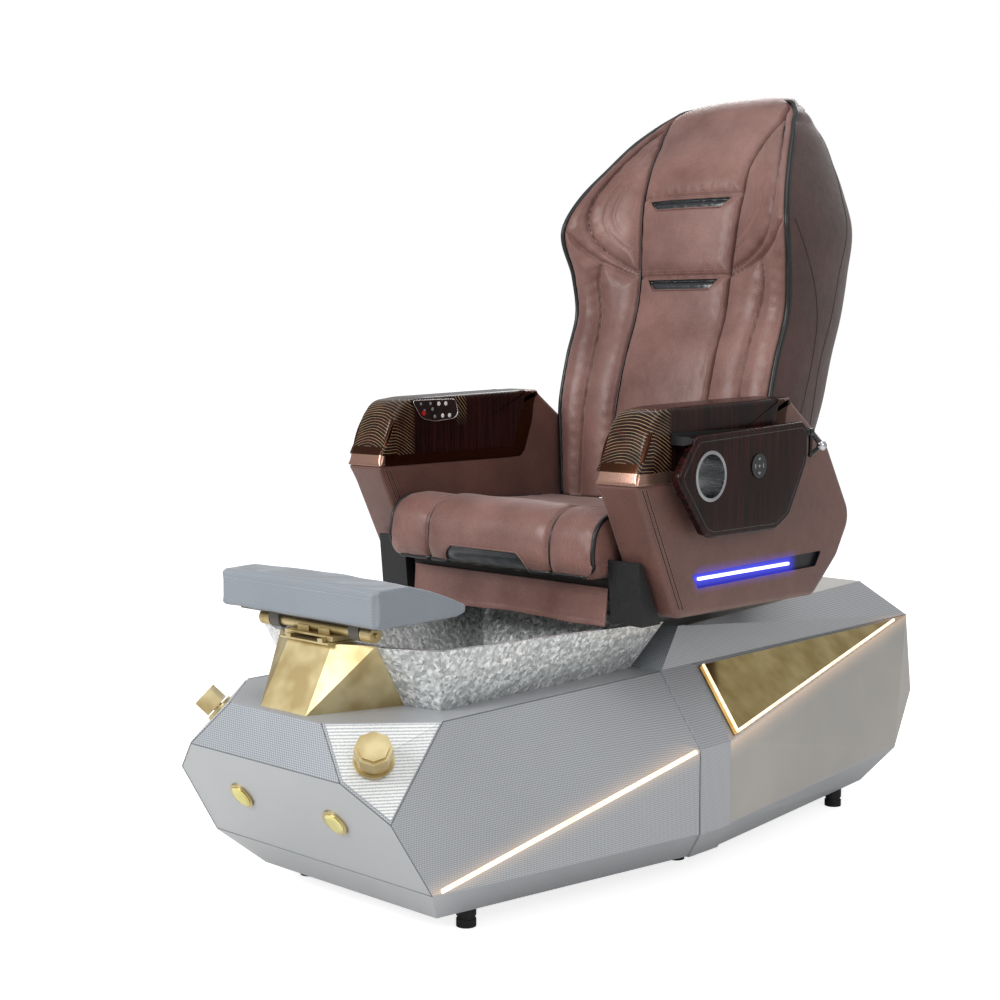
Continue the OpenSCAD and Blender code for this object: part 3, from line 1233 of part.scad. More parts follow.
module tray_hinge() color([0.09, 0.09, 0.1]) {
    x0 = arm_in_x + arm_w + fit_gap;
    block([x0, ear_front[0], swing_z - boss_r], [x0 + hinge_plate_t, ear_back[1],
        swing_z - boss_r + hinge_plate_h]);
    for (e = [ear_front, ear_back]) {
        block([x0, e[0], swing_z - boss_r], [swing_x, e[1], swing_z + boss_r]);
        y_rod(e[0], e[1], swing_x, swing_z, boss_r);
    }
    y_rod(ear_front[1] - cut, ear_front[1] + pin_in, swing_x, swing_z, tray_pin_r);
    y_rod(ear_back[0] - pin_in, ear_back[1] + lock_boss_l - 2 * edge_t, swing_x, swing_z, tray_pin_r);
}
lock_boss_l = 9;
lock_boss_r = 8;
lock_rod_r = 4;
lock_reach = 37;
lock_drop = 27;
lock_low = 42;
module lock() color([0.85, 0.86, 0.88]) {
    y0 = ear_back[1] + fit_gap;
    difference() {
        y_rod(y0, y0 + lock_boss_l + edge_t, swing_x, swing_z, lock_boss_r);
        y_rod(y0 - cut, y0 + lock_boss_l, swing_x, swing_z, tray_pin_r + shaft_gap);
    }
    a = [swing_x, y0 + lock_boss_l + edge_t / 2, swing_z];
    b = a + [0, lock_reach, -lock_drop];
    c = a - [0, 0, lock_low];
    rod(a, b, lock_rod_r);
    rod(a, c, lock_rod_r);
    rod(c, b, lock_rod_r);
    translate(c) sphere(r = lock_rod_r + cut);
    translate(b) sphere(r = ball_r);
}
module tray_left() to_side(1) tray();
module tray_right() to_side(-1) tray();
module cup_left() to_side(1) cup();
module cup_right() to_side(-1) cup();
module dial_left() to_side(1) dial();
module dial_right() to_side(-1) dial();
module lock_left() to_side(1) lock();
module lock_right() to_side(-1) lock();
module tray_hinge_left() to_side(1) tray_hinge();
module tray_hinge_right() to_side(-1) tray_hinge();

front_shell();
rear_shell();
centre_band();
deck_panels();
mirror_panels();
base_lights();
basin();
drain_strainer();
drain_pump();
jet_housing();
jet_motor();
jet_impeller();
base_frame();
levelling_feet();
pedestal();
footrest_rails();
fitting_collars();
mixer_knob();
hand_spray();
jet_button();
drain_button();
control_box();
slide_rails();
slide_motor();
footrest_carriage();
footrest_board();
footrest_pad();
seat_frame();
seat_pan();
seat_cushion();
skirt_flap();
arm_brackets();
back_frame();
back_shell();
back_cushion();
back_panel();
massage_carriage();
massage_rollers();
recline_motor();
recline_rod();
arm_left();
wood_left();
trim_left();
arm_right();
wood_right();
trim_right();
arm_light_left();
arm_light_right();
remote_panel();
power_key();
tray_left();
tray_right();
cup_left();
cup_right();
dial_left();
dial_right();
lock_left();
lock_right();
tray_hinge_left();
tray_hinge_right();
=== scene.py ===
import math
import bmesh
import bpy
import numpy as np
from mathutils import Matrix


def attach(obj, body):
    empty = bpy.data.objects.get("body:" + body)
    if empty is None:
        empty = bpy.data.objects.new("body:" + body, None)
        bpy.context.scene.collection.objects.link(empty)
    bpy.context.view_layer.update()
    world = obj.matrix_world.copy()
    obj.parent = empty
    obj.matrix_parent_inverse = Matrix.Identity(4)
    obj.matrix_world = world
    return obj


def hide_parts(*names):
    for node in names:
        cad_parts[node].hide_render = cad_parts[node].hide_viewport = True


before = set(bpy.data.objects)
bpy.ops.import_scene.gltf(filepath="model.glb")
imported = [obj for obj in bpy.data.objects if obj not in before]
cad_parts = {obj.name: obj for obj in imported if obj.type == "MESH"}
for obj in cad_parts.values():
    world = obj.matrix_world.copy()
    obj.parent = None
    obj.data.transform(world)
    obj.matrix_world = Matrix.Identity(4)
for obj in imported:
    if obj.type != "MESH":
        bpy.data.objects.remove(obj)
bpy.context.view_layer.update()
print("frame loaded:", len(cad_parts), "nodes")

# Small helpers


def linearColour(hexText):
    # sRGB hex to the linear values that the shaders take
    parts = np.array([int(hexText[i:i + 2], 16) for i in (1, 3, 5)]) / 255.0
    lin = np.where(parts <= 0.04045, parts / 12.92, ((parts + 0.055) / 1.055) ** 2.4)
    return (*[float(c) for c in lin], 1.0)


def addNode(tree, kind, inputs=None, **settings):
    node = tree.nodes.new("ShaderNode" + kind)
    for key, value in settings.items():
        setattr(node, key, value)
    for key, value in (inputs or {}).items():
        if isinstance(value, bpy.types.NodeSocket):
            tree.links.new(value, node.inputs[key])
        else:
            node.inputs[key].default_value = value
    return node


def newMaterial(name, **sockets):
    # a Principled material; sockets are set on the shader itself
    mat = bpy.data.materials.new(name)
    mat.use_nodes = True
    shader = mat.node_tree.nodes["Principled BSDF"]
    for key, value in sockets.items():
        shader.inputs[key.replace("_", " ")].default_value = value
    return mat, mat.node_tree, shader


def feed(tree, shader, **sockets):
    for key, value in sockets.items():
        tree.links.new(value, shader.inputs[key.replace("_", " ")])


def objectPoint(tree, scale=(1, 1, 1)):
    # Object coordinates in metres, scaled
    where = addNode(tree, "TexCoord").outputs["Object"]
    return addNode(tree, "Mapping", {"Vector": where, "Scale": scale}).outputs[0]


def axesOf(tree, kind="Object"):
    # x, y and z of the object coordinates or of the normal
    return addNode(tree, "SeparateXYZ", {0: addNode(tree, "TexCoord").outputs[kind]}).outputs


def noise(tree, scale, detail, stretch=(1, 1, 1), **more):
    inputs = {"Vector": objectPoint(tree, stretch), "Scale": scale, "Detail": detail, **more}
    return addNode(tree, "TexNoise", inputs).outputs[0]


def blendColour(tree, share, low, high, mode="MIX"):
    # colours may be hex text or sockets
    low, high = [linearColour(c) if isinstance(c, str) else c for c in (low, high)]
    return addNode(tree, "Mix", {0: share, 6: low, 7: high}, data_type="RGBA", blend_type=mode).outputs[2]


def ramp(tree, share, low, high, toLow=0.0, toHigh=1.0):
    inputs = {"Value": share, "From Min": low, "From Max": high, "To Min": toLow, "To Max": toHigh}
    return addNode(tree, "MapRange", inputs).outputs[0]


def mathNode(tree, operation, a, b=0.0):
    return addNode(tree, "Math", {0: a, 1: b}, operation=operation).outputs[0]


def folded(tree, operation, first, *rest):
    # the operation carried from the left over all the values
    for value in rest:
        first = mathNode(tree, operation, first, value)
    return first


def magnitude(tree, value):
    return addNode(tree, "Math", {0: value}, operation="ABSOLUTE").outputs[0]


def bumpInto(tree, shader, height, strength, distance, before=None):
    inputs = {"Height": height, "Strength": strength, "Distance": distance}
    if before is not None:
        inputs["Normal"] = before
    bump = addNode(tree, "Bump", inputs).outputs[0]
    tree.links.new(bump, shader.inputs["Normal"])
    return bump


def glowInto(tree, shader, share, low, high, strength):
    feed(tree, shader, Emission_Color=blendColour(tree, share, low, high))
    shader.inputs["Emission Strength"].default_value = strength


# Camera, floor and light

cameraValues = {"place": (2.150, -2.535, 0.985), "azimuth": 43.3, "down": 5.6, "lens": 61.92}
cameraData = bpy.data.cameras.new("photoCamera")
cameraData.lens = cameraValues["lens"]
cameraData.sensor_width = 36
cameraData.clip_end = 60
camera = bpy.data.objects.new("photoCamera", cameraData)
camera.location = cameraValues["place"]
camera.rotation_euler = (math.radians(90 - cameraValues["down"]), 0, math.radians(cameraValues["azimuth"]))
bpy.context.scene.collection.objects.link(camera)
bpy.context.scene.camera = camera
bpy.context.scene.view_settings.view_transform = "Standard"

studio = {"floor": "#f4f4f3", "worldLight": 0.5, "keyPower": 130, "fillPower": 40, "backPower": 50,
          "topPower": 34}

world = bpy.data.worlds.new("softRoom")
world.use_nodes = True
bpy.context.scene.world = world
tree = world.node_tree
paths = addNode(tree, "LightPath")
seen = mathNode(tree, "MAXIMUM", paths.outputs["Is Camera Ray"], paths.outputs["Is Transmission Ray"])
sky = tree.nodes["Background"]
sky.inputs["Color"].default_value = (1, 1, 1, 1)
tree.links.new(ramp(tree, seen, 0, 1, studio["worldLight"], 1.0), sky.inputs["Strength"])


def areaLight(name, place, aim, size, power, colour="#ffffff"):
    data = bpy.data.lights.new(name, "AREA")
    data.shape = "RECTANGLE"
    data.size, data.size_y = size
    data.energy = power
    data.color = linearColour(colour)[:3]
    lamp = bpy.data.objects.new(name, data)
    lamp.location = place
    away = np.array(place) - np.array(aim)
    lamp.rotation_euler = (math.atan2(math.hypot(away[0], away[1]), away[2]), 0,
                           math.atan2(away[0], -away[1]))
    bpy.context.scene.collection.objects.link(lamp)


areaLight("keyLight", (-0.9, -4.0, 2.6), (0, 0, 0.7), (2.2, 1.6), studio["keyPower"])
areaLight("fillLight", (3.4, -1.4, 2.4), (0, 0, 0.6), (2.0, 1.8), studio["fillPower"])
areaLight("backLight", (-1.6, 3.2, 2.8), (0, 0, 0.8), (2.4, 1.4), studio["backPower"])
areaLight("topLight", (0.3, -0.4, 3.8), (0, 0, 0.5), (2.6, 2.6), studio["topPower"])


def floorGrid():
    # a flat square of floor, 60 m across
    side = 30.0
    return np.array([[-side, -side, 0], [side, -side, 0], [side, side, 0], [-side, side, 0]])


floorMesh = bpy.data.meshes.new("floor")
floorMesh.from_pydata(floorGrid().tolist(), [], [(0, 1, 2, 3)])
floor = bpy.data.objects.new("floor", floorMesh)
bpy.context.scene.collection.objects.link(floor)
# matt painted floor: shown near white to the camera, with the chair's soft shadow kept
floorMat, tree, shader = newMaterial("paintedFloor", Base_Color=linearColour(studio["floor"]),
                                     Roughness=0.9)
paths = addNode(tree, "LightPath")
glow = addNode(tree, "Emission", {"Color": (1, 1, 1, 1), "Strength": 0.8})
matt = addNode(tree, "BsdfDiffuse", {"Color": (0.55, 0.55, 0.55, 1)})
shown = addNode(tree, "AddShader", {0: glow.outputs[0], 1: matt.outputs[0]})
mixed = addNode(tree, "MixShader", {0: paths.outputs["Is Camera Ray"], 1: shader.outputs[0],
                                    2: shown.outputs[0]})
tree.links.new(mixed.outputs[0], tree.nodes["Material Output"].inputs["Surface"])
floorMesh.materials.append(floorMat)
print("camera, floor and lights made")

# Materials of the foot-spa base

# the glow colour, reach and power below are of a warm glow painted on the acrylic beside each panel's line
weave = {"pitch": 0.0066, "across": 0.6, "light": "#bdbfc2", "dark": "#85888d",
         "smooth": ("#9d9a96", "#a9a59f"),
         "brow": "#eef1f4", "chest": "#a6a8aa", "rough": (0.40, 0.50), "sill": 0.1035, "edge": 0.0008,
         "glow": "#ffc98f", "paintedGlowReach": 0.045, "paintedGlowPower": 0.28}
frontLine = {"y0": -0.699, "z0": 0.103, "slope": 151 / 559}      # the lit line on each front side
rearLine = {"y0": 0.0, "z0": 0.254, "slope": 115 / 780}          # lower edge of each gold inlay
bandLine = {"y0": 0.0, "z0": -1.0, "slope": 0.0}                 # under the floor, so the band has no panel
# y and upward lean of the front side's normal at both ends, and its share along y
sideTwist = {"from": (-0.75, 0.10), "to": (-0.12, 0.74), "back": -0.14}
# ranges of the outward normal that tell the base's faces apart
faces = {"ahead": (-0.60, -0.64), "under": (-0.1, -0.2), "over": (0.1, 0.2), "aside": (0.6, 0.7),
         "twisted": (0.56, 0.60), "notAhead": (-0.40, -0.35)}


def weaveShare(tree, axes, pitch, across=1.0):
    # two crossed sine waves make diamonds: sin(k(y + z + ax)) times sin(k(y - z + ax))
    base = mathNode(tree, "ADD", axes[1], mathNode(tree, "MULTIPLY", axes[0], across))
    turns = [mathNode(tree, way, base, axes[2]) for way in ("ADD", "SUBTRACT")]
    waves = [mathNode(tree, "SINE", mathNode(tree, "MULTIPLY", turn, 2 * math.pi / pitch))
             for turn in turns]
    return ramp(tree, mathNode(tree, "MULTIPLY", *waves), -0.7, 0.9)


def evenTwist(tree, axes, facing, share):
    # the twisted side panel is shaded as one even face: normal = (sign(x) sqrt(1 - b^2 - lean^2), b, lean),
    # with the lean growing evenly along y; outside the share the mesh's own normal is kept
    (y0, low), (y1, high), backward = sideTwist["from"], sideTwist["to"], sideTwist["back"]
    lean = ramp(tree, axes[1], y0, y1, low, high)
    rest = mathNode(tree, "SUBTRACT", 1 - backward ** 2, mathNode(tree, "MULTIPLY", lean, lean))
    out = mathNode(tree, "MULTIPLY", mathNode(tree, "SQRT", rest), mathNode(tree, "SIGN", facing[0]))
    even = addNode(tree, "CombineXYZ", {0: out, 1: backward, 2: lean}).outputs[0]
    own = addNode(tree, "TexCoord").outputs["Normal"]
    side = folded(tree, "MULTIPLY", ramp(tree, magnitude(tree, facing[0]), *faces["twisted"]),
                  ramp(tree, facing[1], *faces["notAhead"]), share)
    return addNode(tree, "Mix", {0: side, 4: own, 5: even}, data_type="VECTOR").outputs[1]


def silverAcrylic(name, line, smoothTop=None, lit=True, plainBelow=1.0, twisted=False):
    # vacuum-formed acrylic, printed with a fine weave under a satin clear coat; the panel below the line is
    # plain by the share plainBelow; drop = z0 + slope (y - y0) - z is the depth under the line
    mat, tree, shader = newMaterial(name, Metallic=0.25, Roughness=0.45, Coat_Weight=0.12,
                                    Coat_Roughness=0.3)
    axes, facing = axesOf(tree), axesOf(tree, "Normal")
    share = weaveShare(tree, axes, weave["pitch"], weave["across"])
    level = mathNode(tree, "MULTIPLY", axes[1], line["slope"])
    level = mathNode(tree, "ADD", level, line["z0"] - line["y0"] * line["slope"])
    drop = mathNode(tree, "SUBTRACT", level, axes[2])
    under = ramp(tree, drop, -weave["edge"], weave["edge"])
    sill = ramp(tree, axes[2], weave["sill"], weave["sill"] + 0.001)
    plain = folded(tree, "MULTIPLY", under, sill, plainBelow)
    if smoothTop is not None:
        plain = mathNode(tree, "MAXIMUM", plain, ramp(tree, axes[2], smoothTop, smoothTop + 0.001))
    cloud = noise(tree, 5.0, 3.0)
    ahead = ramp(tree, facing[1], *faces["ahead"])
    # the chest is the plain face with the buttons, the brow the darker slope above the nose
    chest, brow = [mathNode(tree, "MULTIPLY", ahead, ramp(tree, facing[2], *faces[k]))
                   for k in ("under", "over")]
    printed = blendColour(tree, share, weave["dark"], weave["light"])
    printed = blendColour(tree, brow, printed, weave["brow"], "MULTIPLY")
    smooth = blendColour(tree, ramp(tree, cloud, 0.35, 0.65), *weave["smooth"])
    colour = blendColour(tree, chest, blendColour(tree, plain, printed, smooth), weave["chest"])
    feed(tree, shader, Base_Color=colour, Roughness=ramp(tree, cloud, 0.3, 0.7, *weave["rough"]))
    bare = mathNode(tree, "MAXIMUM", plain, chest)
    fine = mathNode(tree, "MULTIPLY", share, mathNode(tree, "SUBTRACT", 1.0, bare))
    above = mathNode(tree, "MULTIPLY", mathNode(tree, "SUBTRACT", 1.0, under), sill)
    bumpInto(tree, shader, fine, 0.25, 0.0004, evenTwist(tree, axes, facing, above) if twisted else None)
    if lit:                                          # painted glow: warm emission on the panel beside the line, standing in for light spilt from the lit line
        near = ramp(tree, magnitude(tree, drop), 0.0, weave["paintedGlowReach"], 1.0, 0.0)
        beside = ramp(tree, magnitude(tree, facing[0]), *faces["aside"])
        paintedSpill = folded(tree, "MULTIPLY", mathNode(tree, "POWER", near, 3.0), beside, sill)
        glowInto(tree, shader, paintedSpill, "#000000", weave["glow"], weave["paintedGlowPower"])
    return mat


def plainMetal(name, colour, metallic, roughness, grain=0.0, size=0.0012, stretch=(1, 1, 1)):
    # a metal or plating with fine brushed or blasted unevenness
    mat, tree, shader = newMaterial(name, Metallic=metallic)
    fine = noise(tree, 1 / size, 4.0, stretch)
    feed(tree, shader, Base_Color=blendColour(tree, ramp(tree, noise(tree, 18.0, 2.0), 0.35, 0.65),
                                              *colour),
         Roughness=ramp(tree, fine, 0.3, 0.7, roughness * 0.8, roughness * 1.25))
    if grain:
        bumpInto(tree, shader, fine, grain, 0.0002)
    return mat


def plastic(name, colour, roughness, grain=0.2, size=0.0016, coat=0.0):
    # injection-moulded plastic with a fine spark-eroded grain
    mat, tree, shader = newMaterial(name, Coat_Weight=coat, Coat_Roughness=0.05)
    fine = noise(tree, 1 / size, 3.0)
    feed(tree, shader, Base_Color=blendColour(tree, ramp(tree, fine, 0.3, 0.7), *colour),
         Roughness=ramp(tree, fine, 0.3, 0.7, roughness * 0.85, roughness * 1.15))
    bumpInto(tree, shader, fine, grain, 0.0003)
    return mat


def ribbedSilver(name):
    # silver film pressed with fine level ribs, slightly wavy, 2 pi / (20 scale) metres apart
    mat, tree, shader = newMaterial(name, Metallic=0.3, Roughness=0.34)
    inputs = {"Vector": objectPoint(tree), "Scale": 72.0, "Distortion": 1.6, "Detail": 1.0,
              "Detail Scale": 6.0}
    ribs = addNode(tree, "TexWave", inputs, wave_type="BANDS", bands_direction="Z").outputs["Color"]
    feed(tree, shader, Base_Color=blendColour(tree, ramp(tree, ribs, 0.15, 0.6), "#a9adb1", "#dededc"))
    bumpInto(tree, shader, ribs, 0.2, 0.0003)
    return mat


def lamp(name, colour, strength, edge):
    # frosted diffuser of a light strip, a little uneven where the frosting is thick
    mat, tree, shader = newMaterial(name, Roughness=0.5)
    share = ramp(tree, noise(tree, 60.0, 1.0), 0.3, 0.7)
    feed(tree, shader, Base_Color=blendColour(tree, share, edge, colour))
    glowInto(tree, shader, share, edge, colour, strength)
    return mat


basinFinish = {"facet": 0.011, "speck": 0.006, "cloud": 0.012, "base": "#b4b7b7",
               "specks": ("#9ea2a3", "#f4f5f4")}


def hammeredBasin(name):
    # cast resin basin with a silver hammered finish: facets about 9 mm across with bright and dark specks
    mat, tree, shader = newMaterial(name, Metallic=0.25, Coat_Weight=0.4, Coat_Roughness=0.1)
    where = objectPoint(tree)
    cells = addNode(tree, "TexVoronoi", {"Vector": where, "Scale": 1 / basinFinish["facet"]},
                    feature="SMOOTH_F1")
    specks = addNode(tree, "TexVoronoi", {"Vector": where, "Scale": 1 / basinFinish["speck"]})
    cloud = noise(tree, 1 / basinFinish["cloud"], 4.0, Roughness=0.7)
    tone = addNode(tree, "SeparateColor", {0: specks.outputs["Color"]}).outputs
    light = blendColour(tree, ramp(tree, tone[0], 0.15, 0.8), *basinFinish["specks"])
    feed(tree, shader, Base_Color=blendColour(tree, ramp(tree, cloud, 0.38, 0.56), basinFinish["base"],
                                              light),
         Roughness=ramp(tree, tone[1], 0, 1, 0.2, 0.45))
    height = mathNode(tree, "ADD", cells.outputs["Distance"], mathNode(tree, "MULTIPLY", cloud, 0.6))
    bumpInto(tree, shader, height, 0.7, 0.003)
    return mat


def leather(name, low, high, grain=0.0016, roughness=0.44, depth=0.35, coat=0.08):
    # pigmented cowhide, embossed: pebbles about 1.6 mm across with soft creases and a slight wax shine
    mat, tree, shader = newMaterial(name, Coat_Weight=coat, Coat_Roughness=0.3, Sheen_Weight=0.14,
                                    Sheen_Roughness=0.5,
                                    Specular_IOR_Level=0.42)
    pebbles = addNode(tree, "TexVoronoi", {"Vector": objectPoint(tree), "Scale": 1 / grain}, feature="F1")
    pebbles = pebbles.outputs["Distance"]
    crease = noise(tree, 42.0, 5.0, Roughness=0.65, Distortion=0.8)
    tone = blendColour(tree, ramp(tree, noise(tree, 7.0, 4.0, Roughness=0.6), 0.3, 0.7), low, high)
    pores = blendColour(tree, ramp(tree, pebbles, 0.35, 0.8, 0.0, 0.35), tone, low, "MULTIPLY")
    feed(tree, shader, Base_Color=pores, Roughness=ramp(tree, crease, 0.3, 0.7, roughness * 0.85,
                                                        roughness * 1.2))
    first = bumpInto(tree, shader, pebbles, depth, 0.0004)
    bumpInto(tree, shader, crease, 0.22, 0.0022, first)
    return mat


def halftoneCloth(name, low, high, pitch=0.0045):
    # coated upholstery cloth with a small printed check, weave drawn coarse enough to show
    mat, tree, shader = newMaterial(name, Roughness=0.62, Sheen_Weight=0.25, Sheen_Roughness=0.4)
    share = weaveShare(tree, axesOf(tree), pitch)
    worn = ramp(tree, noise(tree, 9.0, 3.0), 0.3, 0.7, 0.0, 0.3)
    feed(tree, shader, Base_Color=blendColour(tree, worn, blendColour(tree, share, low, high), low))
    bumpInto(tree, shader, share, 0.35, 0.0004)
    return mat


woodGrain = {"arcs": 0.0054, "arcsLow": 0.615, "arcsEnd": -0.222, "low": "#0e0505", "high": "#31120f",
             "gold": "#a8926b",
             "patch": (-0.098, -0.066, 0.797), "middle": 0.3145, "roll": -0.262, "aside": 1.5,
             "behind": 0.9, "bend": 0.008}


def goldArcs(tree):
    # rings about a low centre: sin(2 pi distance / spacing), kept on the front roll and in a small patch
    axes = axesOf(tree)
    aside = magnitude(tree, mathNode(tree, "SUBTRACT", magnitude(tree, axes[0]), woodGrain["middle"]))
    behind = mathNode(tree, "MAXIMUM", mathNode(tree, "ADD", axes[1], -woodGrain["roll"]), 0.0)
    wide = mathNode(tree, "ADD", mathNode(tree, "MULTIPLY", aside, woodGrain["aside"]),
                    mathNode(tree, "MULTIPLY", behind, woodGrain["behind"]))
    tall = mathNode(tree, "SUBTRACT", axes[2], woodGrain["arcsLow"])
    squares = [mathNode(tree, "MULTIPLY", part, part) for part in (wide, tall)]
    reach = mathNode(tree, "SQRT", mathNode(tree, "ADD", *squares))
    reach = mathNode(tree, "ADD", reach, mathNode(tree, "MULTIPLY", noise(tree, 15.0, 2.0),
                                                  woodGrain["bend"]))
    wave = mathNode(tree, "SINE", mathNode(tree, "MULTIPLY", reach, 2 * math.pi / woodGrain["arcs"]))
    fore = ramp(tree, axes[1], woodGrain["arcsEnd"], woodGrain["arcsEnd"] + 0.012, 1.0, 0.0)
    y0, y1, z0 = woodGrain["patch"]
    patch = folded(tree, "MULTIPLY", ramp(tree, axes[1], y0, y0 + 0.003),
                   ramp(tree, axes[1], y1 - 0.004, y1, 1.0, 0.0),
                   ramp(tree, axes[2], z0, z0 + 0.02), ramp(tree, axes[0], -0.275, -0.270),
                   ramp(tree, axes[0], 0.0, -0.1))
    fade = ramp(tree, noise(tree, 22.0, 1.0), 0.3, 0.6, 0.35, 1.0)
    return folded(tree, "MULTIPLY", ramp(tree, wave, 0.80, 1.0), mathNode(tree, "MAXIMUM", fore, patch),
                  fade)


def glossWood(name, arcs):
    # quarter-cut mahogany veneer under polyester lacquer, streaks upright, with gold contours if arcs is set
    mat, tree, shader = newMaterial(name, Roughness=0.26, Coat_Weight=0.12, Coat_Roughness=0.04,
                                    Specular_IOR_Level=0.14)
    streak = noise(tree, 1.0, 5.0, (60.0, 300.0, 7.0), Distortion=0.3)
    tone = mathNode(tree, "ADD", mathNode(tree, "MULTIPLY", streak, 0.75),
                    mathNode(tree, "MULTIPLY", noise(tree, 9.0, 2.0), 0.25))
    colour = blendColour(tree, ramp(tree, tone, 0.42, 0.62), woodGrain["low"], woodGrain["high"])
    if arcs:
        colour = blendColour(tree, goldArcs(tree), colour, woodGrain["gold"])
    feed(tree, shader, Base_Color=colour)
    bumpInto(tree, shader, streak, 0.04, 0.0003)
    return mat


def plywood(name):
    # birch ply seat board, coloured near-black brown so that it doesn't show under the cushion
    mat, tree, shader = newMaterial(name, Roughness=0.7)
    rings = noise(tree, 1.0, 4.0, (8.0, 90.0, 200.0))
    feed(tree, shader, Base_Color=blendColour(tree, ramp(tree, rings, 0.3, 0.7), "#15100d", "#231a15"))
    bumpInto(tree, shader, rings, 0.2, 0.0004)
    return mat


handle = {"ball": (0.391, 0.2014, 0.773), "radius": 0.0108}


def lockFinish(name):
    # black-painted bars with a polished steel ball, told apart by the distance from the ball's centre
    mat, tree, shader = newMaterial(name)
    axes = axesOf(tree)
    where = addNode(tree, "CombineXYZ", {0: magnitude(tree, axes[0]), 1: axes[1], 2: axes[2]}).outputs[0]
    far = addNode(tree, "VectorMath", {0: where, 1: handle["ball"]}, operation="DISTANCE").outputs["Value"]
    bar = ramp(tree, far, handle["radius"], handle["radius"] + 0.0004)
    rough = mathNode(tree, "ADD", ramp(tree, bar, 0, 1, 0.08, 0.3),
                     mathNode(tree, "MULTIPLY", noise(tree, 400.0, 2.0), 0.08))
    feed(tree, shader, Base_Color=blendColour(tree, bar, "#c9cbd0", "#0a0a0b"),
         Metallic=mathNode(tree, "SUBTRACT", 1.0, bar), Roughness=rough)
    return mat


lampLine = {"y0": -0.1242, "y1": 0.1560, "z": 0.5532, "reach": 0.030, "face": 0.345}


def lampDistance(tree, axes):
    # distance in the side view from the blue lamp's middle line: sqrt(along^2 + tall^2)
    before = mathNode(tree, "SUBTRACT", lampLine["y0"], axes[1])
    after = mathNode(tree, "SUBTRACT", axes[1], lampLine["y1"])
    along = folded(tree, "MAXIMUM", before, after, 0.0)
    tall = mathNode(tree, "SUBTRACT", axes[2], lampLine["z"])
    squares = [mathNode(tree, "MULTIPLY", part, part) for part in (along, tall)]
    return mathNode(tree, "SQRT", mathNode(tree, "ADD", *squares))


def paintedGlowTray(name):
    # black moulded tray behind the blue lamp, with a painted blue glow near the lamp that fades out towards
    # its far end
    mat, tree, shader = newMaterial(name, Roughness=0.4)
    far = lampDistance(tree, axesOf(tree))
    feed(tree, shader, Base_Color=blendColour(tree, noise(tree, 300.0, 2.0), "#050508", "#0c0c12"))
    # painted glow: blue emission on the tray, strongest next to the lamp's line
    near = mathNode(tree, "POWER", ramp(tree, far, 0.002, 0.034, 1.0, 0.0), 1.6)
    glowInto(tree, shader, near, "#000004", "#3a3df2", 1.0)
    return mat


def armLeatherPaintedShadeGlow(name, low, high):
    # the same cowhide in a darker copy, which is painted shade, with the blue lamp's spill painted on it
    # round the recess as a glow
    mat = leather(name, low, high)
    tree = mat.node_tree
    axes = axesOf(tree)
    # painted glow: blue emission fading with the distance from the lamp's line, on the arm's outer face
    near = mathNode(tree, "POWER", ramp(tree, lampDistance(tree, axes), 0.004, lampLine["reach"], 1.0, 0.0),
                    2.0)
    outside = ramp(tree, magnitude(tree, axes[0]), lampLine["face"], lampLine["face"] + 0.005)
    glowInto(tree, tree.nodes["Principled BSDF"], mathNode(tree, "MULTIPLY", near, outside), "#000000",
             "#4a3cf0", 0.7)
    return mat


stripLine = {"middle": 0.3145, "front": -0.291, "top": 0.7482}


def bronzeTrim(name):
    # brushed bronze foil on a moulded strip, bright copper outside; inside and on the band above z = top it
    # is a dark brown copy,
    #  which is painted shade; the share of bright copper is 1 outside |x| = middle or in front of y = front,
    #  and 0 above z = top
    mat, tree, shader = newMaterial(name, Metallic=0.85, Roughness=0.25)
    axes = axesOf(tree)
    middle, front, top = stripLine["middle"], stripLine["front"], stripLine["top"]
    litCopperShare = mathNode(tree, "MAXIMUM", ramp(tree, magnitude(tree, axes[0]), middle - 0.001, middle + 0.001),
                      ramp(tree, axes[1], front - 0.002, front + 0.002, 1.0, 0.0))
    litCopperShare = mathNode(tree, "MULTIPLY", litCopperShare, ramp(tree, axes[2], top - 0.0004, top + 0.0004, 1.0, 0.0))
    brush = noise(tree, 1.0, 2.0, (500.0, 12.0, 500.0))
    bright = blendColour(tree, brush, "#9b7667", "#b18d7e")
    # painted shade: the dark brown copy for the inner face and the rear band
    dark = blendColour(tree, brush, "#351a0a", "#40200e")
    feed(tree, shader, Base_Color=blendColour(tree, litCopperShare, dark, bright))
    bumpInto(tree, shader, brush, 0.02, 0.0001)
    return mat


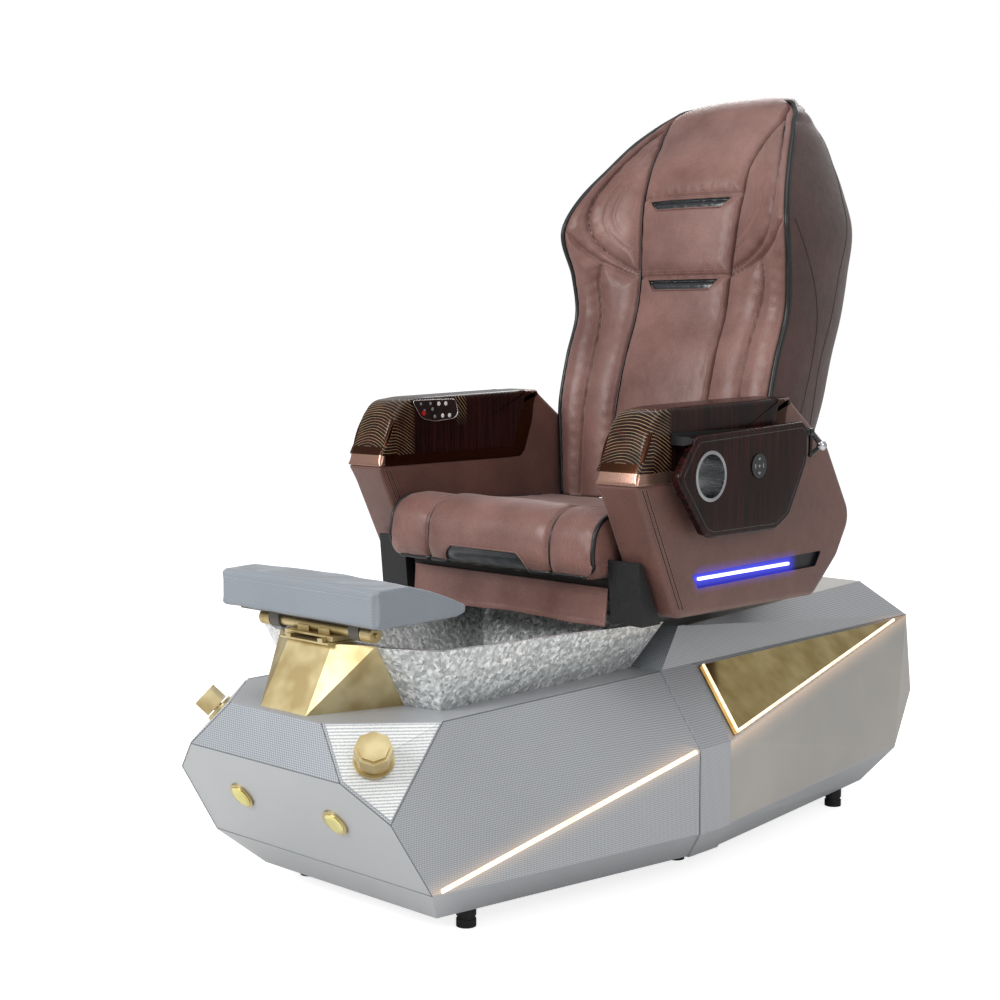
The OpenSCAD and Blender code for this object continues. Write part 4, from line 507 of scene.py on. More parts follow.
materials = {
    "frontSilver": silverAcrylic("printedAcrylicFront", frontLine, plainBelow=0.0, twisted=True),
    "rearSilver": silverAcrylic("printedAcrylicRear", rearLine, 0.4385),
    "bandSilver": silverAcrylic("printedAcrylicBand", bandLine, lit=False),
    "facetSilver": ribbedSilver("ribbedSilverFacet"),
    "goldMirror": plainMetal("goldMirrorInlay", ("#a8925c", "#c4b07c"), 1.0, 0.12),
    "gold": plainMetal("platedGoldBrass", ("#b19d70", "#d3c498"), 0.9, 0.40, 0.15),
    "paleGold": plainMetal("polishedPaleGold", ("#cfc477", "#e6dfa2"), 1.0, 0.14, 0.1),
    "warmLight": lamp("warmDiffuser", "#fff0dc", 0.95, "#ffdcb0"),
    "blueLight": lamp("blueDiffuser", "#eef0ff", 1.6, "#d9deff"),
    "paintedGlowTray": paintedGlowTray("blueGlowPaintedTray"),
    "lockHandle": lockFinish("blackBarSteelBall"),
    "basin": hammeredBasin("hammeredSilverResin"),
    "machine": plastic("mouldedGreyNylon", ("#2c2d30", "#3c3e42"), 0.5),
    "black": plastic("texturedBlackPlastic", ("#040405", "#121214"), 0.6, 0.9, 0.0042),
    "gloss": plastic("glossBlackAcrylic", ("#060607", "#0d0d10"), 0.14, 0.02, 0.01, 0.6),
    "rubber": plastic("blackRubber", ("#0b0b0b", "#161616"), 0.75, 0.3, 0.0022),
    "white": plastic("whiteMouldedPlastic", ("#d5d6d8", "#e6e7e8"), 0.35),
    "blue": plastic("blueMouldedPlastic", ("#2c5f9e", "#3f78b8"), 0.35),
    "red": plastic("redKeyPlastic", ("#a01712", "#c02018"), 0.3),
    "frame": plainMetal("powderCoatBlack", ("#141416", "#1f1f22"), 0.2, 0.5, 0.4, 0.0012),
    "chrome": plainMetal("polishedStainless", ("#c9cacc", "#dcdddf"), 1.0, 0.12),
    "brushed": plainMetal("brushedStainless", ("#a9aaac", "#c4c5c7"), 1.0, 0.26, 0.3, 0.0012,
                          (0.08, 1.0, 1.0)),
    "bronze": bronzeTrim("roseBronzeAnodisedPaintedShade"),
    "leather": leather("mauveBrownLeather", "#643f37", "#87625a"),
    # the arms take a darker copy of the mauve-brown leather: painted shade
    "armLeatherPaintedShadeGlow": armLeatherPaintedShadeGlow("mauveBrownLeatherArmPaintedShadeGlow", "#5a3a32", "#70493f"),
    "shellLeather": leather("darkBrownLeather", "#371a14", "#48261f", roughness=0.55, coat=0.0),
    "padCloth": halftoneCloth("blueGreyUpholstery", "#6f757c", "#90979f"),
    "wood": glossWood("lacqueredMahogany", True),
    "trayWood": glossWood("lacqueredMahoganyTray", False),
    "ply": plywood("darkBrownPly"),
    "board": plastic("mouldedFootboard", ("#4b4843", "#5b5751"), 0.6),
    "piping": plastic("blackPipingVinyl", ("#040405", "#09090b"), 0.38, 0.3, 0.0011),
    # dark brown line of the arms' sewn seams: painted shade of each seam's groove
    "seam": plastic("sewnGroovePaintedShade", ("#1d1010", "#2a1815"), 0.7, 0.3, 0.0009),
    "joint": plastic("greyPanelJoint", ("#55585c", "#6a6d71"), 0.5, 0.2, 0.002),
    "ventLeather": leather("blackGlossLeather", "#0b0d12", "#171b22", grain=0.0014, roughness=0.24,
                           depth=0.2, coat=0.5),
    "padThread": plastic("paleGreyThread", ("#a7adb3", "#c3c8cc"), 0.6, 0.6, 0.0006),
    "keyWhite": plastic("whiteKeyPrint", ("#d9dadc", "#ececee"), 0.4, 0.1, 0.0008),
    "keyGrey": plastic("greyKeyPrint", ("#6f747c", "#8c9199"), 0.45, 0.1, 0.0008),
    "thread": plastic("palePolyesterThread", ("#8f6b60", "#a98476"), 0.6, 0.6, 0.0006),
}

nodeFinish = {
    "frontSilver": ["front_shell"], "rearSilver": ["rear_shell"], "bandSilver": ["centre_band"],
    "facetSilver": ["deck_panels"],
    "goldMirror": ["mirror_panels"], "warmLight": ["base_lights"], "basin": ["basin"],
    "chrome": ["drain_strainer", "recline_rod"], "lockHandle": ["lock_left", "lock_right"],
    "machine": ["drain_pump", "jet_motor", "control_box", "slide_motor", "recline_motor",
                "massage_carriage"],
    "white": ["jet_housing"], "blue": ["jet_impeller"], "frame": ["base_frame", "seat_frame", "back_frame"],
    "rubber": ["levelling_feet", "massage_rollers"], "brushed": ["slide_rails", "cup_left", "cup_right"],
    "gold": ["pedestal", "footrest_rails", "fitting_collars", "mixer_knob", "hand_spray",
             "footrest_carriage"],
    "paleGold": ["jet_button", "drain_button"], "trayWood": ["tray_left", "tray_right"],
    "board": ["footrest_board"], "padCloth": ["footrest_pad"], "ply": ["seat_pan"],
    "black": ["arm_brackets", "tray_hinge_left", "tray_hinge_right"],
    "leather": ["seat_cushion", "skirt_flap", "back_cushion", "back_panel", "arm_left", "arm_right"],
    "shellLeather": ["back_shell"],
    "wood": ["wood_left", "wood_right"], "bronze": ["trim_left", "trim_right"],
    "blueLight": ["arm_light_left", "arm_light_right"], "red": ["power_key"],
    "gloss": ["remote_panel", "dial_left", "dial_right"],
}
for finish, nodes in nodeFinish.items():
    for node in nodes:
        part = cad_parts[node]
        for place in part.material_slots:
            place.material = materials[finish]
        if not part.material_slots:
            part.data.materials.append(materials[finish])
print("materials made")

# the left and right sides, as the sign of x and the ending of the names
sides = ((1, "Left"), (-1, "Right"))

# Surfaces worked out with numpy


def meshFrom(name, points, faces, finish, body, smooth=True):
    # points (n, 3), faces as lists; all are turned over if the enclosed volume comes out negative
    if signedVolume(points, faces) < 0:
        faces = [f[::-1] for f in faces]
    mesh = bpy.data.meshes.new(name)
    mesh.from_pydata(np.asarray(points, float).tolist(), [], [tuple(int(i) for i in f) for f in faces])
    mesh.validate()
    mesh.materials.append(materials[finish])
    mesh.polygons.foreach_set("use_smooth", np.full(len(mesh.polygons), smooth))
    obj = bpy.data.objects.new(name, mesh)
    bpy.context.scene.collection.objects.link(obj)
    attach(obj, body)
    return obj


def gridFaces(rows, cols, wrap):
    # quads between neighbours of a rows x cols grid; wrap joins the last column to the first
    r, c = np.meshgrid(np.arange(rows - 1), np.arange(cols if wrap else cols - 1), indexing="ij")
    n = (c + 1) % cols
    return np.stack([r * cols + c, r * cols + n, (r + 1) * cols + n, (r + 1) * cols + c], -1).reshape(-1, 4)


def signedVolume(points, faces):
    # sum of a.(b x c)/6 over the fan of each face
    p = np.asarray(points, float)
    total = 0.0
    for size in {len(f) for f in faces}:
        block = np.array([f for f in faces if len(f) == size])
        for k in range(1, size - 1):
            a, b, c = p[block[:, 0]], p[block[:, k]], p[block[:, k + 1]]
            total += float(np.einsum("ij,ij->i", a, np.cross(b, c)).sum()) / 6
    return total


def loftPiece(name, rings, finish, body, smooth=True, wrapRows=False):
    # rings (rows, cols, 3), each ring closed on itself; the ends are closed by fans to their middle points
    rows, cols = rings.shape[:2]
    points = rings.reshape(-1, 3)
    faces = gridFaces(rows, cols, True).tolist()
    if wrapRows:
        last = gridFaces(2, cols, True)
        faces += (np.where(last < cols, last + (rows - 1) * cols, last - cols)).tolist()
    else:
        points = np.vstack([points, rings[0].mean(0), rings[-1].mean(0)])
        i = np.arange(cols)
        j = (i + 1) % cols
        faces += np.stack([j, i, np.full(cols, rows * cols)], -1).tolist()
        base = (rows - 1) * cols
        faces += np.stack([base + i, base + j, np.full(cols, rows * cols + 1)], -1).tolist()
    return meshFrom(name, points, faces, finish, body, smooth)


def runOf(points):
    # distance along a path at each of its points
    return np.r_[0, np.cumsum(np.linalg.norm(np.diff(points, axis=0), axis=1))]


def unit(vectors):
    return vectors / np.maximum(np.linalg.norm(vectors, axis=-1), 1e-12)[..., None]


def smoothCurve(xs, ys, x):
    # cubic through (xs, ys) with middle-difference slopes, so that it passes every point without a kink
    xs, ys, x = np.asarray(xs, float), np.asarray(ys, float), np.asarray(x, float)
    slope = np.gradient(ys, xs)
    i = np.clip(np.searchsorted(xs, x) - 1, 0, len(xs) - 2)
    h = xs[i + 1] - xs[i]
    t = np.clip((x - xs[i]) / h, 0, 1)
    a, b = ys[i], ys[i + 1]
    return ((2 * t**3 - 3 * t**2 + 1) * a + (t**3 - 2 * t**2 + t) * h * slope[i]
            + (3 * t**2 - 2 * t**3) * b + (t**3 - t**2) * h * slope[i + 1])


def alongPath(points, spacing, closed=False):
    # the same path with points at even distances, on a smooth curve through the given ones
    p = np.asarray(points, float)
    if closed:
        p = np.vstack([p, p[:1]])
    step = runOf(p)
    fine = np.linspace(0, step[-1], 40 * len(p))
    q = np.stack([smoothCurve(step, p[:, k], fine) for k in range(p.shape[1])], -1)
    run = runOf(q)
    at = np.linspace(0, run[-1], max(int(round(run[-1] / spacing)) + 1, 3))
    return np.stack([np.interp(at, run, q[:, k]) for k in range(p.shape[1])], -1)


def tubeRings(path, radius, sides=10, closed=False):
    # a circle carried along the path, in the frame of the path's direction and a fixed slanting one
    p = np.asarray(path, float)
    way = np.gradient(p, axis=0)
    if closed:
        way = np.roll(p, -1, 0) - np.roll(p, 1, 0)
    way = unit(way)
    side = np.cross(way, np.array([0.3, 0.2, 0.93]))
    small = np.linalg.norm(side, axis=1) < 0.15
    side[small] = np.cross(way[small], np.array([1.0, 0.1, 0.0]))
    side = unit(side)
    up = np.cross(way, side)
    angle = np.arange(sides) * 2 * np.pi / sides
    r = np.broadcast_to(np.asarray(radius, float), (len(p),))[:, None, None]
    return p[:, None] + r * (np.cos(angle)[None, :, None] * side[:, None]
                             + np.sin(angle)[None, :, None] * up[:, None])


def tubePiece(name, path, radius, finish, body, sides=10, closed=False):
    return loftPiece(name, tubeRings(path, radius, sides, closed), finish, body, wrapRows=closed)


def stitchPiece(name, rows, finish, body, size=(0.0042, 0.0016), thick=0.00045):
    # thread stitches: a flattened spindle of 6 x 3 points at each place, laid along each row of points
    allPoints, allFaces, at = [], [], 0
    rise = np.array([0.35, 1.0, 0.35])
    run = np.array([-0.5, 0.0, 0.5])
    angle = np.arange(6) * np.pi / 3
    for row in rows:
        p = alongPath(row, spacing=size[0] + size[1])
        way = unit(np.gradient(p, axis=0))
        side = unit(np.cross(way, [0.31, 0.17, 0.94]))
        up = np.cross(way, side)
        ring = (np.cos(angle)[None, None, :, None] * side[:, None, None]
                + np.sin(angle)[None, None, :, None] * up[:, None, None])
        pts = (p[:, None, None] + way[:, None, None] * (run * size[0])[None, :, None, None]
               + ring * (rise * thick)[None, :, None, None])
        quads = gridFaces(3, 6, True)
        ends = np.array([[5, 4, 3, 2], [5, 2, 1, 0], [12, 13, 14, 15], [12, 15, 16, 17]])
        one = np.vstack([quads, ends])
        allPoints.append(pts.reshape(-1, 3))
        allFaces.append((one[None] + (np.arange(len(p)) * 18)[:, None, None] + at).reshape(-1, 4))
        at += len(p) * 18
    return meshFrom(name, np.vstack(allPoints), np.vstack(allFaces).tolist(), finish, body)


def toCurve(where, line):
    # shortest distance from each point of the plane to a line of points
    line = alongPath(line, spacing=0.004)
    a, b = line[:-1], line[1:]
    d = b - a
    best = np.full(where.shape[:-1], 9.0)
    for k in range(len(a)):
        t = np.clip(((where - a[k]) @ d[k]) / (d[k] @ d[k]), 0, 1)
        best = np.minimum(best, np.linalg.norm(where - a[k] - t[..., None] * d[k], axis=-1))
    return best


def pillow(distance, width, height):
    # rises as a quarter circle from a seam to full height at width
    t = 1 - np.clip(distance / width, 0, 1)
    return height * np.sqrt(np.maximum(1 - t * t, 0))


def groove(distance, width, depth):
    return -depth * np.exp(-(distance / width) ** 2)


def softNoise(p, size, seed=0):
    # a few fixed sine waves in different directions, about +-1, for folds and unevenness
    rng = np.random.default_rng(seed)
    total = 0
    for k in range(6):
        way = rng.normal(size=p.shape[-1])
        way *= 2 * np.pi / (size * rng.uniform(0.7, 1.5)) / np.linalg.norm(way)
        total = total + np.sin(p @ way + rng.uniform(0, 6.28))
    return total / 3


def surfaceNormals(grid):
    # cross product of the two directions of the grid
    return unit(np.cross(np.gradient(grid, axis=0), np.gradient(grid, axis=1)))


def offsetSurface(base, height, u, v, lift=0.0, outwards=(0, -1, 0.2)):
    # base(u, v) moved along its normal by height(u, v) + lift; the normal is taken on the side of outwards
    e = 1e-4
    n = unit(np.cross(base(u + e, v) - base(u - e, v), base(u, v + e) - base(u, v - e)))
    n *= np.where((n @ np.asarray(outwards, float)) < 0, -1.0, 1.0)[..., None]
    return base(u, v) + n * (height(u, v) + lift)[..., None]


def flipX(points):
    return np.asarray(points) * np.array([-1.0, 1.0, 1.0])


def sided(points, side):
    # as they are for the left side, mirrored for the right one
    return points if side > 0 else flipX(points)


threadLift = 0.0002          # of each stitch's middle over the leather

# Backrest

back = {"low": 0.642, "pipingRadius": 0.0052, "wingPuff": 0.017, "bolsterPuff": 0.02, "panelPuff": 0.013,
        "wingEdge": 0.040, "bolsterEdge": 0.038, "panelEdge": 0.036, "seam": (0.003, 0.002), "crown": 0.006,
        "contours": ((0.032, 0.0026, 0.0018), (0.050, 0.0022, 0.0014), (0.057, 0.0022, 0.0014)),
        "trough": 0.008, "troughWidth": 0.012, "slotDepth": 0.009, "slotBelow": 0.006, "fold": 0.0009,
        "uneven": 0.0007, "threadIn": (0.0288, 0.0352, 0.0535),
        "slots": [{"seam": 1.256, "wide": 0.103, "narrow": 0.082, "tall": 0.021},
                  {"seam": 1.095, "wide": 0.089, "narrow": 0.071, "tall": 0.023}]}
# height, half width, piping line, panel and rear of the back, in metres
backTable = np.array([[0.640, 0.248, 0.205, 0.205, 0.470], [0.740, 0.256, 0.210, 0.212, 0.531],
                      [0.829, 0.263, 0.215, 0.222, 0.575], [0.931, 0.265, 0.240, 0.250, 0.610],
                      [1.024, 0.266, 0.272, 0.286, 0.645], [1.100, 0.272, 0.266, 0.300, 0.664],
                      [1.205, 0.280, 0.244, 0.312, 0.671], [1.260, 0.262, 0.272, 0.325, 0.656],
                      [1.321, 0.232, 0.325, 0.350, 0.635], [1.400, 0.185, 0.405, 0.420, 0.590],
                      [1.437, 0.150, 0.455, 0.455, 0.545], [1.450, 0.120, 0.470, 0.470, 0.520]])
panelWidths = np.array([[0.640, 0.119], [0.950, 0.116], [1.093, 0.116], [1.180, 0.122], [1.254, 0.128],
                        [1.300, 0.128], [1.360, 0.137], [1.410, 0.150], [1.437, 0.143], [1.450, 0.122]])


def backAt(z, col):
    return smoothCurve(backTable[:, 0], backTable[:, col], z)


def panelHalf(z):
    return smoothCurve(panelWidths[:, 0], panelWidths[:, 1], z)


# lines sewn into each wing, as (distance from the middle, height)
wingLines = {
    "pad": [(0.124, 1.432), (0.160, 1.400), (0.192, 1.350), (0.216, 1.300), (0.233, 1.255), (0.236, 1.215),
            (0.218, 1.172), (0.176, 1.135), (0.118, 1.104)],
    "waist": [(0.276, 1.196), (0.246, 1.160), (0.208, 1.132), (0.165, 1.112), (0.116, 1.094)],
    "bolster": [(0.206, 1.131), (0.212, 1.085), (0.203, 1.030), (0.196, 0.975), (0.194, 0.900),
                (0.196, 0.830), (0.196, 0.730), (0.194, 0.645)],
}


def wingSpan(z):
    # each wing lies between the panel's edge and the piping, at least 8 mm wide
    outer = backAt(z, 1) - 0.004
    return np.minimum(panelHalf(z), outer - 0.008), outer


def wingBase(u, z):
    inner, outer = wingSpan(z)
    w = inner + u * (outer - inner)
    y = backAt(z, 3) + (backAt(z, 2) - backAt(z, 3)) * np.clip(u, 0, 1.2) ** 1.5
    return np.stack([w, y, z], -1)


def wingHeight(u, z):
    inner, outer = wingSpan(z)
    w = inner + u * (outer - inner)
    flat = np.stack([w, z], -1)
    pad, waist, bolster = [toCurve(flat, wingLines[k]) for k in ("pad", "waist", "bolster")]
    edge = np.minimum(np.maximum(w - inner, 0), np.maximum(outer - w, 0))
    seams = np.minimum(np.minimum(edge, waist), np.minimum(pad, bolster))
    upper = z > np.interp(w, [0.116, 0.165, 0.208, 0.246, 0.276], [1.094, 1.112, 1.132, 1.160, 1.196])
    rise = np.where(upper, pillow(seams, back["wingEdge"], back["wingPuff"]),
                    pillow(seams, back["bolsterEdge"], back["bolsterPuff"]))
    rise = rise + groove(seams, *back["seam"])
    inPad = upper & (w < np.interp(z, [1.104, 1.135, 1.172, 1.215, 1.255, 1.3, 1.35, 1.4],
                                   [0.118, 0.176, 0.218, 0.236, 0.233, 0.216, 0.192, 0.16]))
    contour = sum(groove(pad - inwards, width, depth) for inwards, width, depth in back["contours"])
    rise = rise + np.where(inPad, contour, 0)
    folds = np.exp(-(seams / 0.022) ** 2) * softNoise(np.stack([w, z * 2.2], -1), 0.035, 4) * back["fold"]
    return rise + folds + back["uneven"] * softNoise(np.stack([w, z], -1), 0.12, 7)


def wingSurface(u, z, lift=0.0):
    return offsetSurface(wingBase, wingHeight, u, z, lift)


def onWing(line, lift):
    line = alongPath(line, spacing=0.006)
    inner, outer = wingSpan(line[:, 1])
    return wingSurface((line[:, 0] - inner) / (outer - inner), line[:, 1], lift)


rows = np.r_[np.linspace(back["low"], 1.40, 190), np.linspace(1.402, 1.447, 22)]
cols = (1 - np.cos(np.linspace(0, np.pi, 84))) / 2
grid = wingSurface(*np.meshgrid(cols, rows))
half, pipe, panel = backAt(rows, 1), backAt(rows, 2), backAt(rows, 3)
rear = np.maximum(pipe, panel)
behind = [((half - 0.006) * 0.99, rear + 0.012), ((half - 0.006) * 0.965, rear + 0.045),
          (panelHalf(rows) + 0.004, rear + 0.045)]
behind = np.stack([np.stack([x, y, rows], -1) for x, y in behind], 1)
wingRing = np.concatenate([grid, behind], 1)
for side, name in sides:
    piece = loftPiece("backWing" + name, sided(wingRing, side), "leather", "back")
    if side > 0:
        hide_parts("back_cushion")
    tubePiece("wingPiping" + name, sided(onWing(wingLines["pad"][1:], 0.0012), side), 0.0026, "piping",
              "back", 8)
    waist = tubePiece("waistSeam" + name, sided(onWing(wingLines["waist"], -0.0002), side), 0.0016,
                      "leather", "back", 8)
    pad = np.array(alongPath(wingLines["pad"], spacing=0.004))
    inward = unit(np.stack([-np.gradient(pad[:, 1]), np.gradient(pad[:, 0])], -1))
    inward *= np.sign(np.sum(inward * (np.array([0.12, 1.25]) - pad), 1))[:, None]
    low = pad[:, 1] < 1.385
    rowsOfThread = [pad[low] + inward[low] * k for k in back["threadIn"]]
    rowsOfThread = [r[(r[:, 0] > panelHalf(r[:, 1]) + 0.004) & (r[:, 1] > 1.115)] for r in rowsOfThread]
    waistLine = np.array(wingLines["waist"]) + [0, -0.006]
    bolster = np.array(wingLines["bolster"][1:])
    rowsOfThread += [waistLine[:-1], bolster + [0.006, 0], bolster - [0.006, 0]]
    threadRows = [sided(onWing(r, threadLift), side) for r in rowsOfThread if len(r) > 3]
    stitchPiece("wingStitches" + name, threadRows, "thread", "back")
print("back wings made")

# the middle panel runs up the front and rolls over the top
panelLine = np.vstack([np.stack([backAt(z, 3), z], -1) for z in np.linspace(back["low"] + 0.004, 1.405, 40)]
                      + [[[0.440, 1.424], [0.462, 1.439], [0.490, 1.449], [0.518, 1.452]]])
panelRun = runOf(panelLine)
panelLength = panelRun[-1]


def panelBase(x, t):
    y = smoothCurve(panelRun, panelLine[:, 0], t)
    z = smoothCurve(panelRun, panelLine[:, 1], t)
    return np.stack([x * (panelHalf(np.minimum(z, 1.45)) - 0.0006), y, z], -1)


def runAt(z):
    return float(np.interp(z, panelLine[:, 1], panelRun))


def slotWidth(slot, down):
    return slot["wide"] - (slot["wide"] - slot["narrow"]) * down ** 1.6


def slotDepth(w, t, slot, soft=0.003):
    # 1 inside the slot's shape, which is wide along its seam and narrower below, 0 outside
    down = (runAt(slot["seam"]) - back["slotBelow"] - t) / slot["tall"]
    wide = slotWidth(slot, np.clip(down, 0, 1))
    inside = np.minimum(wide - np.abs(w), np.minimum(down, 1 - down) * slot["tall"])
    return np.clip(inside / soft, 0, 1)


def panelHeight(x, t):
    z = smoothCurve(panelRun, panelLine[:, 1], t)
    half = panelHalf(np.minimum(z, 1.45))
    w = x * half
    seams = np.minimum(half - np.abs(w), np.minimum(t, 0.03))
    for slot in back["slots"]:
        seams = np.minimum(seams, np.abs(t - runAt(slot["seam"])))
    rise = pillow(np.maximum(seams, 0), back["panelEdge"], back["panelPuff"])
    rise = rise + back["crown"] * np.clip(1 - x * x, 0, 1)
    rise = rise - back["trough"] * np.clip(1 - np.abs(half - np.abs(w)) / back["troughWidth"], 0, 1) ** 2
    for slot in back["slots"]:
        rise = rise - back["slotDepth"] * slotDepth(w, t, slot)
    folds = np.exp(-(seams / 0.02) ** 2) * softNoise(np.stack([w * 2.5, t], -1), 0.04, 11) * 0.0008
    return rise + folds + 0.0008 * softNoise(np.stack([w, t], -1), 0.15, 12)


def panelSurface(x, t, lift=0.0):
    return offsetSurface(panelBase, panelHeight, x, t, lift, (0, -1, 0.6))


cols = -np.cos(np.linspace(0, np.pi, 110))
rows = np.linspace(0, panelLength, 330)
grid = panelSurface(*np.meshgrid(cols, rows))
under = panelBase(*np.meshgrid(np.array([0.97, 0.3, -0.3, -0.97]), rows))
under[..., 1] += 0.030 * np.clip(1 - (rows / panelLength)[:, None] ** 6, 0.3, 1)
under[..., 2] -= 0.012 * (rows / panelLength)[:, None] ** 6
piece = loftPiece("backPanel", np.concatenate([grid, under], 1), "leather", "back")
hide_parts("back_panel")

for i, slot in enumerate(back["slots"]):
    down, across = np.meshgrid(np.linspace(0, 1, 14), np.linspace(-1, 1, 60), indexing="ij")
    wide = slotWidth(slot, down)
    t = runAt(slot["seam"]) - back["slotBelow"] - down * slot["tall"]
    half = panelHalf(np.interp(t, panelRun, panelLine[:, 1]))
    crown = 0.0035 * np.sin(np.pi * down) * (1 - across ** 6)
    x = across * (wide - 0.0008) / half
    top = panelSurface(x, t, 0.0006) + np.stack([0 * crown, -crown, 0 * crown], -1)
    rim = panelSurface(x, t, -0.004)
    ringPath = np.concatenate([top[0], top[1:, -1], top[-1, -2::-1], top[-2:0:-1, 0]])
    piece = loftPiece("vent" + str(i + 1), np.concatenate([top, rim[:, ::-1]], 1), "ventLeather", "back")
    tubePiece("ventEdge" + str(i + 1), alongPath(ringPath, spacing=0.004, closed=True)[:-1], 0.0014,
              "leather", "back", 6, True)

seamRows = []
for z, off in ((1.256, 0.0065), (1.095, 0.0065), (1.095, 0.012)):
    w = np.linspace(-0.93, 0.93, 50)
    seamRows.append(panelSurface(w, np.full(50, runAt(z) + off), 0.0003))
stitchPiece("panelStitches", seamRows, "thread", "back")
for side, name in sides:
    z = np.linspace(back["low"] + 0.004, 1.425, 150)
    line = np.stack([side * (panelHalf(z) + 0.0005), backAt(z, 3) - 0.001, z], -1)
    tubePiece("panelSeam" + name, line, 0.0021, "piping", "back", 8)
print("back panel made")

# Back shell: a hollow leather-covered shell with its open side to the cushion
shell = {"wall": 0.005, "low": 0.640, "domeFrom": 1.40}


def shellPoint(turn, z):
    # turn 0 at the piping, 1 at the middle of the rear: x = a cos^0.62, y runs back by sin^0.9
    angle = np.clip(turn, 0, 1) * np.pi / 2
    top = np.clip((z - shell["domeFrom"]) / (1.452 - shell["domeFrom"]), 0, 1)
    a, pipe, rear = backAt(z, 1), backAt(z, 2), backAt(z, 4)
    x = a * np.cos(angle) ** 0.62
    y = pipe + (rear - pipe) * np.sin(angle) ** 0.9
    wrinkle = 0.0007 * softNoise(np.stack([x, y, z], -1), 0.16, 21)
    return np.stack([x + wrinkle, y + 0.006 * top ** 3 * np.cos(angle), z], -1)


turns = (1 - np.cos(np.linspace(0, np.pi, 61))) / 2 * 0.55 + np.linspace(0, 1, 61) * 0.45
rows = np.r_[np.linspace(shell["low"], 1.42, 120), np.linspace(1.424, 1.450, 12)]
outer = shellPoint(*np.meshgrid(turns, rows))
outer = np.concatenate([outer, flipX(outer[:, -2::-1])], 1)
inner = outer[:, ::-1].copy()
centre = np.stack([0 * rows, (backAt(rows, 2) + backAt(rows, 4)) / 2, rows], -1)[:, None]
away = inner - centre
inner -= unit(away) * shell["wall"]
inner[..., 1] = np.maximum(inner[..., 1], backAt(rows, 2)[:, None] + 0.0005)
inner[..., 2] = np.minimum(inner[..., 2], 1.442)
tops = [(0.86, 1.4520), (0.6, 1.4535), (0.25, 1.4545)]
for share, height in tops:
    ring = np.concatenate([outer[-1], inner[-1]])
    mid = np.array([0, 0.5, 0])
    ring = mid + (ring - mid) * [share, share, 1]
    half = len(outer[0])
    ring[:half, 2] = height
    outer = np.concatenate([outer, ring[None, :half]])
    inner = np.concatenate([inner, ring[None, half:]])
piece = loftPiece("backShell", np.concatenate([outer, inner], 1), "shellLeather", "back")
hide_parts("back_shell")

arch = shellPoint(np.zeros(90), np.linspace(0.642, 1.437, 90)) + [0.0, -0.001, 0]
over = np.array([[0.150, 0.458, 1.4400], [0.141, 0.467, 1.4475], [0.124, 0.476, 1.4520],
                 [0.08, 0.482, 1.4545], [0, 0.484, 1.4555]])
edgeLine = np.vstack([arch[:-2], over, flipX(over[-2::-1]), flipX(arch[-3::-1])])
tubePiece("backPiping", alongPath(edgeLine, spacing=0.006), back["pipingRadius"], "piping", "back", 12)
flange = alongPath(edgeLine + [0, 0.0065, 0], spacing=0.006)
tubePiece("backPipingFlange", flange, 0.0030, "piping", "back", 8)

seams = {"side": [(0.36, 0.645), (0.33, 0.80), (0.30, 0.95), (0.33, 1.08), (0.40, 1.20), (0.44, 1.32),
                  (0.52, 1.42)],
         "front": [(0.16, 0.645), (0.20, 0.80), (0.22, 0.92), (0.16, 1.04), (0.08, 1.14), (0.03, 1.20)]}
for side, name in sides:
    for part, line in seams.items():
        where = alongPath(line, spacing=0.006)
        run = shellPoint(where[:, 0], where[:, 1])
        tubePiece("shellSeam" + part.capitalize() + name, sided(run, side), 0.0011, "piping", "back", 6)
print("back shell made")

# Seat cushion: a profile from the rear edge over the front roll to its lower edge, carried across the seat
seat = {"half": 0.2535, "channel": 0.152, "corner": 0.026, "middlePuff": 0.011, "sidePuff": 0.009,
        "flatPuff": 0.007,
        "insertHalf": 0.104, "insertTall": 0.031, "insertDeep": 0.004, "insertTaper": 0.022, "foot": 0.562,
        "stitchRows": (0.193, 0.2005, 0.2135, 0.221), "channelRows": (0.1455, 0.1585), "frontEdge": 0.034,
        "topEdge": 0.05, "groove": (0.0035, 0.003), "fold": 0.0009, "uneven": 0.0006}
seatProfile = np.array([[0.164, 0.640], [0.08, 0.642], [-0.02, 0.646], [-0.10, 0.650], [-0.150, 0.655],
                        [-0.190, 0.664], [-0.228, 0.668], [-0.262, 0.658], [-0.281, 0.636], [-0.287, 0.608],
                        [-0.286, 0.580], [-0.278, 0.562]])
seatRun = runOf(seatProfile)
seatLength = seatRun[-1]
crossSeam = float(np.interp(-0.160, seatProfile[::-1, 0], seatRun[::-1]))


def cornerLift(x):
    # the rounded corner's height over the seat's foot: r (1 - sqrt(1 - c^2)), c from 0 to 1 across it
    c = np.clip((np.abs(x) - (seat["half"] - seat["corner"])) / seat["corner"], 0, 1)
    return seat["corner"] * (1 - np.sqrt(np.maximum(1 - c * c, 0)))


def seatBase(x, t):
    # the lower corners of the front are rounded: points under the corner's circle are lifted on to it
    y = smoothCurve(seatRun, seatProfile[:, 0], t)
    z = smoothCurve(seatRun, seatProfile[:, 1], t)
    return np.stack([x, y, np.maximum(z, seat["foot"] + cornerLift(x))], -1)


